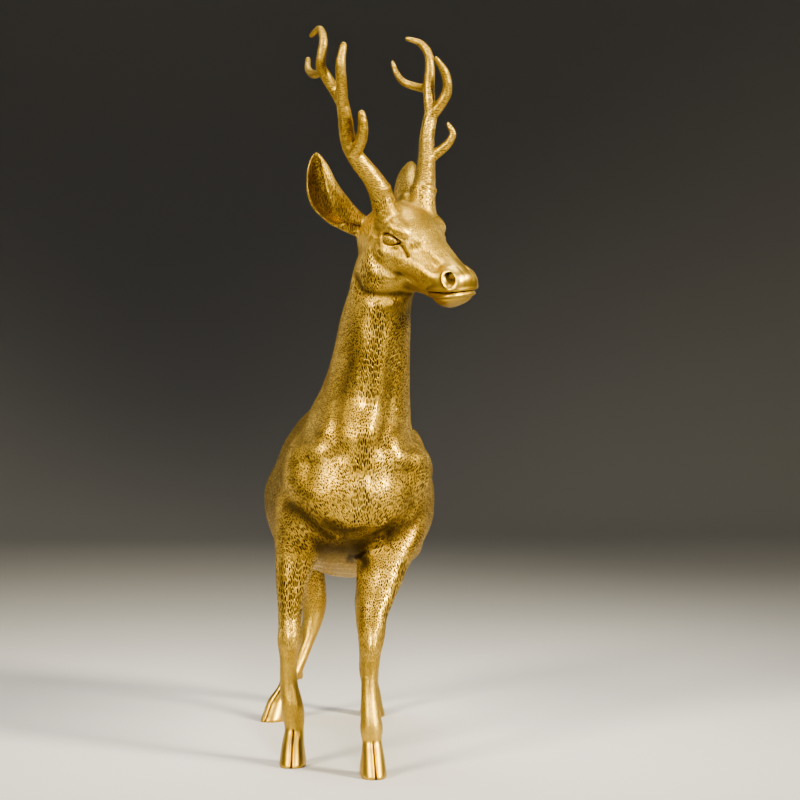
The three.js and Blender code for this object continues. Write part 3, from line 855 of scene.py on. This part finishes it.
def mouth(clay):
    """A cut that runs level round the muzzle, below the nostrils, with painted shade along it."""
    along, left, out = face_places(clay.p)
    level = out - (MOUTH_LEVEL + (along - MUZZLE_END) * MOUTH_SLOPE)
    start = ramp(along, *MOUTH_CORNER)
    ends, half, tall = MOUTH_WINDOW
    near = between(along, *ends) & (np.abs(left) < half) & (np.abs(level) < tall)
    lips = sum(height * hump(level, place, width) * start for place, width, height in MOUTH_LINES)
    clay.push(np.where(near, lips, 0))
    clay.dark = np.maximum(clay.dark, np.where(near, start * hump(level, 0, MOUTH_SHADE_WIDTH), 0))


# Places along and out of the face, radius, height, fade, distance off the middle, darkening by painted
# shade in the grooves
FACE_STROKES = [
    ([(-9, -8), (-2, -9), (6, -8.8), (14, -8), (22, -7), (29, -6.4)], 3.2, 0.95, True, 3, 0),
    ([(-14, -9), (-8, -14), (1, -16.4), (9, -16.2), (16, -15), (22, -14)], 2.6, -1.1, True, 3, 0.74),
    ([(-4, -18.5), (5, -18.8), (13, -17.4), (20, -16.4), (26, -15.4)], 2.6, 0.6, True, 3, 0),
    ([(-14, -24), (-4, -26), (8, -23.4), (18, -19.8), (25, -17.8)], 2.4, -0.5, True, 3, 0),
    ([(6, 2.6), (13, 0.4), (21, -0.8), (28, -0.6)], 2.8, -1.6, True, 3, 0.62),
    ([(-16, -1), (-12.5, -6), (-10, -12)], 3, -0.7, True, 8, 0),
    ([(7, -12), (11, -11.6)], 4, 0.9, False, 3, 0),
]
# The tear line's groove carries painted shade
TEAR_LINE = ([(0.6, -1.4), (3.6, -2.2), (8.4, -4.6)], 0.8, -1.2, False, 6, 0.9)


def face(clay):
    for spec in FACE_STROKES:
        face_stroke(clay, *spec)
    clay.refresh()
    clay.smooth(FACE_ROUNDS, regions(clay.p)[0])
    face_stroke(clay, *TEAR_LINE)
    clay.refresh()
    for side in (-1, 1):
        eye(clay, side)
    clay.refresh()
    mouth(clay)
    clay.refresh()
    for side in (-1, 1):
        nostril(clay, side)
    clay.refresh()


# Between jaw and throat: places along, beside and out of the face; radius, height, fade, darkening by a
# painted shadow under the jaw
JAW_LINE = [(-16, 21, -31), (-10.4, 22.7, -32.3), (-4, 24.3, -32.7), (1.6, 24.1, -31.3),
            (6.2, 21.9, -29.2), (10.1, 17.5, -27.3), (11.9, 11, -26.1), (11.5, 3, -27)]
JAW_CUT_AND_SHADOW = (3.4, -2.3, True, 0.93)
# Places in space, radius, height
RIDGES = [
    ([[20, -78, 232], [17, -76, 215], [13, -76, 198], [9, -78, 182], [4, -80, 166]], 6, 1.6),
    ([[2, -68, 236], [-4, -66, 216], [-10, -64, 196], [-18, -66, 178], [-24, -66, 164]], 6, 1.1),
    ([[-38, -34, 160], [-42, -28, 145], [-40, -24, 128]], 6, 1.3),
    ([[42, -34, 162], [45, -28, 146], [42, -24, 130]], 6, 1.3),
    ([[0, 5, 190], [1, 40, 186], [2, 80, 184], [1, 108, 180]], 5, 1.2),
    ([[-33, -58, 76], [-35, -59, 66], [-35, -58, 58]], 3.4, 1.2),
    ([[7, -88, 78], [5.8, -90, 67], [5, -90, 59]], 3.4, 1.3),
    ([[-12.5, 124, 70], [-12.5, 126, 61], [-14, 121, 50]], 3, 0.9),
    ([[19, 134, 70], [19, 136, 61], [18.6, 131, 50]], 3, 0.9),
]
GROOVES = [
    ([[8, -84, 236], [4, -80, 214], [-1, -78, 194], [-8, -78, 176], [-13, -77, 160]], 4.5, -1.3),
    ([[26, -72, 226], [24, -72, 206], [22, -74, 188], [17, -77, 172], [11, -79, 158]], 4.5, -1.6),
    ([[-16, -72, 166], [-8, -77, 154], [0, -79, 146]], 5, -1.5),
    ([[20, -72, 166], [12, -77, 154], [4, -79, 146]], 5, -1.5),
    ([[-34, -58, 138], [-22, -66, 126], [-10, -70, 118]], 5, -1.6),
    ([[34, -58, 138], [24, -66, 126], [12, -70, 118]], 5, -1.6),
    ([[-40, 0, 168], [-46, 6, 145], [-42, 4, 122]], 6, -1.4),
    ([[46, 0, 168], [51, 6, 145], [47, 4, 122]], 6, -1.4),
    ([[-28, 64, 165], [-41, 62, 145], [-40, 60, 120], [-30, 66, 104]], 6, -1.6),
    ([[36, 66, 165], [48, 64, 145], [46, 62, 120], [36, 68, 104]], 6, -1.6),
    ([[-2, 132, 150], [-2, 128, 130], [-2, 118, 112]], 6, -2.5),
    ([[-37, -47, 56], [-39, -48, 44], [-38, -50, 34]], 1.7, -0.7),
    ([[0.6, -82, 56], [0.4, -84, 44], [0.8, -87, 34]], 1.7, -0.7),
    ([[-18, 108, 50], [-23, 104, 38], [-29, 99, 28]], 1.7, -0.7),
    ([[22.6, 118, 50], [22.6, 114, 38], [23.6, 111, 28]], 1.7, -0.7),
]
# Places across and up, radius, height, darkening by painted shade in the furrows and under the breast
BREAST = [
    ([[5, 228], [6, 214], [6.5, 198], [6.8, 182], [8, 172]], 6.5, 1.3, 0),
    ([[15, 222], [13, 204], [11, 188]], 4, 0.9, 0),
    ([[21, 222], [19, 200], [17, 183], [12, 168], [5, 157]], 6, -2.3, 0.86),
    ([[-1, 230], [-4, 208], [-10, 186], [-11.5, 170], [-6, 157]], 6, -2.0, 0.84),
    ([[28, 180], [18, 171], [9, 160]], 6, -1.2, 0.84),
    ([[-26, 176], [-16, 168], [-7, 158]], 6, -1.0, 0.8),
    ([[-28, 166], [-26, 158]], 10, 2.4, 0),
    ([[27, 163], [26, 154]], 10, 2.6, 0),
    ([[-6, 134], [-4, 122]], 9, 1.8, 0),
    ([[12, 128], [14, 122]], 7, 1.2, 0),
    ([[-46, 140], [-31, 131], [-19, 120], [-5, 111]], 7, -2.0, 0.95),
    ([[6, 111], [19, 120], [31, 127], [42, 138]], 7, -1.8, 0.95),
    ([[-8, 106], [8, 106]], 9, -0.8, 0.98),
    ([[-38, 150], [-30, 142], [-20, 134]], 5, 0.9, 0),
    ([[25, 112], [20, 102], [15, 92]], 6, 1.2, 0),
]


def body_relief(clay):
    """Muscles, sinews and bone under the coat."""
    for path, radius, height in RIDGES + GROOVES:
        stroke(clay, path, radius, height)
    for side in (-1, 1):
        throat = [on_face(a, l * side, o) for a, l, o in JAW_LINE]
        stroke(clay, throat, *JAW_CUT_AND_SHADOW)
    clay.refresh()
    for path, radius, height, dark in BREAST:
        front_relief(clay, path, radius, height, dark)
    clay.refresh()


WAVES = 14
WAVE_SPREAD = (0.7, 1.5)  # their lengths, as shares of the size
# Stretch of the places, size of the waves, seed, height
TUFTS = ([1, 1, 0.6], 5, 3, 0.035)
SWAY = ([1, 1, 1], 19, 5, 0.14)
ANTLER_RINGS = ([0.35, 0.35, 1], 3.6, 8, 0.055)


def wave(points, size, seed):
    """A soft sum of sines, near one in size, that repeats nowhere on the figure."""
    rng = np.random.default_rng(seed)
    total = np.zeros(len(points))
    for _ in range(WAVES):
        direction = unit(rng.normal(size=3))
        length = size * rng.uniform(*WAVE_SPREAD)
        total += np.sin(points @ direction * 2 * math.pi / length + rng.uniform(0, 2 * math.pi))
    return total / math.sqrt(WAVES / 2)


def coat_relief(clay, smooth_skin, antlers):
    """Low tufts under the chased strokes, rings on the antlers and uneven metal everywhere."""
    def uneven(where, stretch, size, seed, height):
        return height * where * wave(clay.p * stretch, size, seed)

    clay.push(uneven(1 - smooth_skin, *TUFTS) + uneven(1 - 0.6 * antlers, *SWAY))
    clay.push(uneven(antlers, *ANTLER_RINGS))
    clay.refresh()


# The soft borders of the regions
SKULL_SIDES = (19, 22)
SKULL_BACK = (-30, -24)
SKULL_TOP = (10.5, 13)
SKULL_BOTTOM = (-37, -33)
EAR_SLEEVE = (14, 17)
EAR_ENDS = (10, EAR_LENGTH + 4)
ANTLER_FOOT = (290, 297)
LEG_TOP = (96, 112)


def regions(points):
    """How far each point belongs to the head, the antlers, the ears, the legs and the bulk."""
    along, left, out = face_places(points)
    z = points[:, 2]
    skull = (1 - ramp(np.abs(left), *SKULL_SIDES)) * ramp(along, *SKULL_BACK)
    skull = skull * (1 - ramp(out, *SKULL_TOP)) * ramp(out, *SKULL_BOTTOM)
    ears = np.zeros(len(points))
    for root, axis, *_ in EARS:
        ends = [np.array(root) + unit(axis) * reach for reach in EAR_ENDS]
        ears = np.maximum(ears, 1 - ramp(near_path(points, ends)[0], *EAR_SLEEVE))
    antlers = ramp(z, *ANTLER_FOOT) * (1 - ears)
    skull = skull * (1 - ears) * (1 - antlers)
    legs = 1 - ramp(z, *LEG_TOP)
    bulk = np.clip(1 - skull - antlers - ears - legs, 0, 1)
    return skull, antlers, ears, legs, bulk


# The eyes and the muzzle: ends along the face, to its side and out of it
FINE_BOXES = [((-11, 12), (9, 24), (-9.5, 6.5)), ((20, 50), (-16, 16), (-26, 12))]
FINE_ROUND_CLEFT = 3


def refined(thing, points):
    """Splits the skin once more where the eyes, nostrils, lips and clefts are carved."""
    along, left, out = face_places(points)
    chosen = np.zeros(len(points), bool)
    for ends, sides, depths in FINE_BOXES:
        chosen |= between(along, *ends) & between(np.abs(left), *sides) & between(out, *depths)
    for spec in LEGS.values():
        chosen |= near_path(points, cleft_path(**spec))[0] < FINE_ROUND_CLEFT
    bm = bmesh.new()
    bm.from_mesh(thing.data)
    edges = [edge for edge in bm.edges if all(chosen[vert.index] for vert in edge.verts)]
    bmesh.ops.subdivide_edges(bm, edges=edges, cuts=1, use_grid_fill=True)
    bmesh.ops.triangulate(bm, faces=[face for face in bm.faces if len(face.verts) > 4])
    bm.to_mesh(thing.data)
    bm.free()


# Rounds of smoothing; a step in and a longer one out even the skin without shrinking it
EVEN_ROUNDS = 12
EVEN_STRENGTHS = (0.5, -0.52)
BULK_ROUNDS = 90
FORM_ROUNDS = 18
RELIEF_ROUNDS = 16
SKULL_ROUNDS = 6
FACE_ROUNDS = 3
LAST_STRENGTHS = (0.3,)
HOOF_EDGE = (17, 21)  # the coat's tufts end over these heights
SOLE_HEIGHT = 0.35  # what lies lower is laid flat on the ground


def sculpted(stag):
    """Works the form on the even skin, and the face and the clefts on the finer one."""
    clay = Clay(stag)
    skull, antlers, ears, legs, bulk = regions(clay.p)
    slim = antlers + ears
    clay.smooth(EVEN_ROUNDS, np.clip(skull + legs + slim, 0, 1), EVEN_STRENGTHS)
    clay.smooth(BULK_ROUNDS, bulk)
    clay.smooth(FORM_ROUNDS, np.clip(skull + 0.4 * legs + 0.12 * slim, 0, 1))
    body_relief(clay)
    clay.smooth(RELIEF_ROUNDS, np.clip(bulk + 0.5 * legs, 0, 1))
    refined(stag, clay.p)
    # The painted shade carved into grooves so far is carried over to the finer skin
    carved_shade = clay.dark
    clay = Clay(stag)
    clay.dark[:len(carved_shade)] = carved_shade
    skull, antlers, ears, *_ = regions(clay.p)
    clay.smooth(SKULL_ROUNDS, skull)
    face(clay)
    clay.smooth(1, skull, LAST_STRENGTHS)
    hooves_cleft(clay)
    hooves = 1 - ramp(clay.p[:, 2], *HOOF_EDGE)
    coat_relief(clay, np.clip(antlers + ears + skull + hooves, 0, 1), antlers)
    clay.p[clay.p[:, 2] < SOLE_HEIGHT, 2] = 0
    return clay


# Rounds of blur that show the small hollows, darkened as patina and painted shade, and the broad ones,
# darkened as painted shade
SMALL_BLUR = 5
BROAD_BLUR = 70
BLUR_STRENGTH = 0.6
SMALL_WEIGHT = 2.6
BROAD_SHADE_WEIGHT = 0.5
# Surfaces of the body and skull that face down are darkened with painted shade
FACING_DOWN = (0.15, 0.8)
UNDERSIDE_SHADE_AMOUNT = 0.44
FRONT_END = (-44, -28)
FLANK_START = (-34, -18)
FLANK_TOP = (178, 192)
COAT_BOTTOM = (100, 112)
BREAST_BOTTOM = (104, 112)
BREAST_TOP = (232, 244)
BREAST_FOOT = 150  # from here up its middle leans aside
BREAST_LEAN = 0.11
BARE_HOOF = (15, 25)
BARE_SHIN = (48, 84)
MUZZLE_START = (20, 28)


def painted(clay, thing):
    """Attributes that the finish reads: patina and painted shade in the hollows, painted shade on the
    undersides, the lay of the coat and how bare the metal is.
    """
    blurred = clay.p.copy()
    depths = []
    for step in range(1, BROAD_BLUR + 1):
        blurred = blurred + (clay.mean_of_neighbours(blurred) - blurred) * BLUR_STRENGTH
        if step in (SMALL_BLUR, BROAD_BLUR):
            depths.append(np.einsum("ij,ij->i", blurred - clay.p, clay.n))
    skull, antlers, ears, _, bulk = regions(clay.p)
    # Painted shade in the broad hollows between the muscles
    broad_shade = depths[1] * BROAD_SHADE_WEIGHT * (1 - 0.6 * skull) * (1 - 0.75 * ears)
    hollow_patina_and_shade = np.maximum(np.clip(0.5 + depths[0] * SMALL_WEIGHT + broad_shade, 0, 1), clay.dark)
    # Painted shade on the surfaces that face down
    underside_shade = np.clip(bulk + 0.5 * skull, 0, 1) * ramp(-clay.n[:, 2], *FACING_DOWN)
    hollow_patina_and_shade = np.maximum(hollow_patina_and_shade - 0.2 * ears, 0.5 + UNDERSIDE_SHADE_AMOUNT * underside_shade)

    x, y, z = clay.p.T
    front = bulk * (1 - ramp(y, *FRONT_END)) * ramp(z, *BREAST_BOTTOM) * (1 - ramp(z, *BREAST_TOP))
    middle = 1 + BREAST_LEAN * np.clip(z - BREAST_FOOT, 0, 100)
    leaning = front * ramp(np.abs(x - middle), 4, 8)
    level = bulk * ramp(y, *FLANK_START) * (1 - ramp(z, *FLANK_TOP)) * ramp(z, *COAT_BOTTOM)

    hooves = 1 - ramp(z, *BARE_HOOF)
    shins = 0.8 * (1 - ramp(z, *BARE_SHIN)) * (1 - hooves)
    muzzle = skull * ramp(face_places(clay.p)[0], *MUZZLE_START)
    bare = antlers * 0.3 + ears * 0.25 + skull * 0.5 + muzzle * 0.45 + shins + hooves
    lay = (level, leaning * (x < middle), leaning * (x >= middle))
    for name, columns in (("lay", lay), ("metal", (hollow_patina_and_shade, np.clip(bare, 0, 1), antlers))):
        layer = thing.data.attributes.new(name, "FLOAT_COLOR", "POINT")
        values = np.stack([*columns, np.ones(len(x))], 1)
        layer.data.foreach_set("color", values.astype(np.float32).ravel())


BOX_SHARE = 0.9995  # the skin stays this little inside the solid's box


def kept_within(clay, low, high):
    """Draws the skin in, where needed, to the box of the solid, with the soles on the ground."""
    centre = (low + high) / 2
    centre[2] = 0
    reach = np.maximum(clay.p.max(0) - centre, centre - clay.p.min(0))
    clay.p = centre + (clay.p - centre) * np.minimum(1, (high - centre) / reach * BOX_SHARE)


def stag_piece():
    stag = fused(rough_forms())
    largest_body(stag)
    clay = sculpted(stag)
    painted(clay, stag)
    clay.p = (clay.p + POSE_SHIFT) * MM
    kept_within(clay, *(np.array(corner, float) for corner in cad_box))
    clay.refresh()
    thin = stag.modifiers.new("thin", "DECIMATE")
    thin.ratio = PIECE_TRIANGLES / (2 * len(stag.data.polygons))
    applied(stag)
    stag.data.polygons.foreach_set("use_smooth", [True] * len(stag.data.polygons))
    stag.data.update()
    return stag


# The finish

class Wiring:
    """Adds nodes to a tree; an input is given a value or the socket that feeds it."""

    def __init__(self, tree):
        self.tree = tree

    def fill(self, node, inputs):
        for slot, value in inputs.items():
            if isinstance(value, bpy.types.NodeSocket):
                self.tree.links.new(value, node.inputs[slot])
            else:
                node.inputs[slot].default_value = value
        return node

    def add(self, kind, inputs, **settings):
        node = self.tree.nodes.new("ShaderNode" + kind)
        for name, value in settings.items():
            setattr(node, name, value)
        return self.fill(node, inputs)

    def calc(self, operation, first, second, clamp=False):
        return self.add("Math", {0: first, 1: second}, operation=operation, use_clamp=clamp).outputs[0]


STROKE_LENGTH = 3.4
STROKE_WIDTH = 0.82
# How the strokes lean from upright
FLANK_TURN = math.radians(78)
BREAST_TURN = math.radians(34)
ANTLER_TURN = math.radians(90)


def chased_strokes():
    """Short pecked strokes that lie along one direction: each cell of the pattern holds one."""
    group = bpy.data.node_groups.new("chased_strokes", "ShaderNodeTree")
    for label in ("Vector", "Turn"):
        group.interface.new_socket(name=label, in_out="INPUT", socket_type="NodeSocketVector")
    group.interface.new_socket(name="Stroke", in_out="OUTPUT", socket_type="NodeSocketFloat")
    wiring = Wiring(group)
    inside = group.nodes.new("NodeGroupInput").outputs
    turned = wiring.add("Mapping", {"Vector": inside["Vector"], "Rotation": inside["Turn"]})
    narrow, long = 1 / MM / STROKE_WIDTH, 1 / MM / STROKE_LENGTH
    scale = {0: turned.outputs[0], 1: (narrow, narrow, long)}
    cell = {"Vector": wiring.add("VectorMath", scale, operation="MULTIPLY").outputs[0],
            "Scale": 1, "Randomness": 0.9}
    cells = wiring.add("TexVoronoi", cell, feature="DISTANCE_TO_EDGE")
    # A stroke begins between these distances from a cell's border
    border = {"Value": cells.outputs["Distance"], "From Min": 0.07, "From Max": 0.19}
    edge = wiring.add("MapRange", border, interpolation_type="SMOOTHSTEP")
    wiring.fill(group.nodes.new("NodeGroupOutput"), {"Stroke": edge.outputs[0]})
    return group


DEEP_TONE = (0.51, 0.325, 0.06, 1)
BRIGHT_TONE = (0.67, 0.45, 0.1, 1)
# The darkest colour: patina in the pecks and grain, and painted shade in hollows and on undersides
PATINA_AND_SHADE_COLOUR = (0.027, 0.0155, 0.007, 1)
TONE_ENDS = (0.35, 0.65)
HOLLOW_PATINA_SHADE_START = 0.54
HOLLOW_PATINA_SHADE_GAIN = 2.15
STROKE_DARK = 0.95
SPECK_START = 0.6
SPECK_GAIN = 1.6
SPECK_DARK = 0.5
GRAIN_HEIGHT = 0.2
GRAIN = {"Scale": 1400, "Detail": 3, "Roughness": 0.55}
CLOUD = {"Scale": 60, "Detail": 4, "Roughness": 0.55}


def brass():
    material = bpy.data.materials.new("brass_with_patina_and_painted_shade")
    material.use_nodes = True
    wiring = Wiring(material.node_tree)
    add, calc = wiring.add, wiring.calc
    place = add("TexCoord", {}).outputs["Object"]
    strokes = chased_strokes()

    def attribute(name):
        node = add("Attribute", {}, attribute_name=name)
        return add("SeparateColor", {0: node.outputs["Color"]}).outputs

    def lying(turn):
        node = add("Group", {}, node_tree=strokes)
        return wiring.fill(node, {"Turn": turn, "Vector": place}).outputs["Stroke"]

    def mixed(first, second, factor):
        return add("Mix", {"Factor": factor, "A": first, "B": second}, data_type="FLOAT").outputs[0]

    lay = attribute("lay")
    metal = attribute("metal")
    pecks = lying((0, 0, 0))
    pecks = mixed(pecks, lying((FLANK_TURN, 0, 0)), lay[0])
    pecks = mixed(pecks, lying((0, BREAST_TURN, 0)), lay[1])
    pecks = mixed(pecks, lying((0, -BREAST_TURN, 0)), lay[2])
    pecks = mixed(pecks, lying((0, ANTLER_TURN, 0)), metal[2])
    pecks = calc("MULTIPLY", pecks, calc("SUBTRACT", 1, metal[1], clamp=True))
    grain = add("TexNoise", {**GRAIN, "Vector": place}).outputs["Fac"]
    cloud = add("TexNoise", {**CLOUD, "Vector": place}).outputs["Fac"]

    # The first channel of metal is patina and painted shade from the hollows and undersides
    dark = calc("MULTIPLY", calc("SUBTRACT", metal[0], HOLLOW_PATINA_SHADE_START), HOLLOW_PATINA_SHADE_GAIN, clamp=True)
    dark = calc("MAXIMUM", dark, calc("MULTIPLY", pecks, STROKE_DARK))
    speck = calc("MULTIPLY", calc("SUBTRACT", grain, SPECK_START), SPECK_GAIN, clamp=True)
    dark = calc("ADD", dark, calc("MULTIPLY", speck, SPECK_DARK), clamp=True)

    tone = add("ValToRGB", {0: cloud})
    for stop, colour, end in zip(tone.color_ramp.elements, (DEEP_TONE, BRIGHT_TONE), TONE_ENDS):
        stop.color = colour
        stop.position = end
    # The mix has its two colours at inputs 6 and 7
    colour = add("Mix", {}, data_type="RGBA")
    wiring.fill(colour, {"Factor": dark, 6: tone.outputs[0], 7: PATINA_AND_SHADE_COLOUR})
    shine = add("MapRange", {"Value": dark, "To Min": 0.38, "To Max": 0.7})
    height = calc("ADD", calc("MULTIPLY", pecks, -1), calc("MULTIPLY", grain, GRAIN_HEIGHT))
    bump = add("Bump", {"Distance": 0.00025, "Strength": 0.9, "Height": height})
    wiring.fill(material.node_tree.nodes["Principled BSDF"], {
        "Base Color": colour.outputs[2],
        "Roughness": shine.outputs[0],
        "Metallic": 1,
        "Normal": bump.outputs[0],
    })
    return material


# The studio, in metres

PAPER = (0.6, 0.59, 0.575, 1)
SKY = (0.62, 0.62, 0.64, 1)
LAMPS_AIM = (0, 0, 0.2)
# Name, place, width and height, power, colour, spread in degrees
LAMPS = [
    ("key", (-0.8, -0.85, 0.8), (0.35, 0.6), 2.7, (1, 0.91, 0.7), 55),
    ("second_key", (0.9, -0.75, 0.75), (0.3, 0.6), 4.5, (1, 0.92, 0.72), 55),
    ("front", (0.05, -1.2, 1.0), (0.15, 0.5), 0.6, (1, 0.98, 0.95), 45),
    ("top", (0.0, 0.15, 1.2), (0.5, 0.4), 0.9, (1, 1, 1), 55),
    ("rim", (-0.8, 0.7, 0.5), (0.15, 0.9), 0.4, (1, 1, 1), 100),
    ("rim_right", (0.85, 0.75, 0.5), (0.15, 0.9), 0.4, (1, 1, 1), 100),
]


def sweep():
    """A pale floor that curves up into a pale backdrop."""
    front, back, bend, wide, tall, steps = 4.0, 1.2, 0.7, 4.0, 3.2, 16
    outline = [(-front, 0.0), (back, 0.0)]
    for k in range(1, steps + 1):
        angle = k / steps * math.pi / 2
        outline.append((back + bend * math.sin(angle), bend * (1 - math.cos(angle))))
    outline.append((back + bend, tall))
    points = [(x, y, z) for y, z in outline for x in (-wide, wide)]
    faces = [(2 * i, 2 * i + 1, 2 * i + 3, 2 * i + 2) for i in range(len(outline) - 1)]
    floor = mesh_object("sweep", points, faces)
    floor.data.polygons.foreach_set("use_smooth", [True] * len(faces))
    paper = bpy.data.materials.new("pale_paper")
    paper.use_nodes = True
    shader = paper.node_tree.nodes["Principled BSDF"]
    Wiring(paper.node_tree).fill(shader, {"Base Color": PAPER, "Roughness": 0.9})
    floor.data.materials.append(paper)


def lamp(name, place, size, power, colour, spread):
    data = bpy.data.lights.new(name, "AREA")
    data.shape = "RECTANGLE"
    data.size, data.size_y = size
    data.energy = power
    data.color = colour
    data.spread = math.radians(spread)
    light = placed(name, data)
    light.location = place
    light.rotation_euler = (Vector(LAMPS_AIM) - Vector(place)).to_track_quat("-Z", "Y").to_euler()


def studio():
    world = bpy.data.worlds.new("studio")
    world.use_nodes = True
    sky = world.node_tree.nodes["Background"]
    Wiring(world.node_tree).fill(sky, {"Color": SKY, "Strength": 0.05})
    bpy.context.scene.world = world
    bpy.context.scene.view_settings.look = "AgX - Medium High Contrast"
    for spec in LAMPS:
        lamp(*spec)


# The camera, from the photograph's horizon and the figure's place in the frame

FOCAL_PIXELS = 2805.0
FRAME_PIXELS = 800
CAMERA_PLACE = np.array([-105.0, -1496.0, 251.0])
CAMERA_YAW = math.radians(5.0585)
CAMERA_PITCH = math.radians(2.47)


def camera():
    data = bpy.data.cameras.new("camera")
    data.sensor_width = 36
    data.lens = FOCAL_PIXELS / FRAME_PIXELS * data.sensor_width
    data.clip_start = 0.05
    thing = placed("camera", data)
    thing.location = (CAMERA_PLACE + POSE_SHIFT) * MM
    thing.rotation_euler = (math.pi / 2 - CAMERA_PITCH, 0, -CAMERA_YAW)
    bpy.context.scene.camera = thing


camera()
studio()
sweep()
stag = stag_piece()
stag.data.materials.clear()
stag.data.materials.append(brass())
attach(stag, "root")
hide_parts("deer")
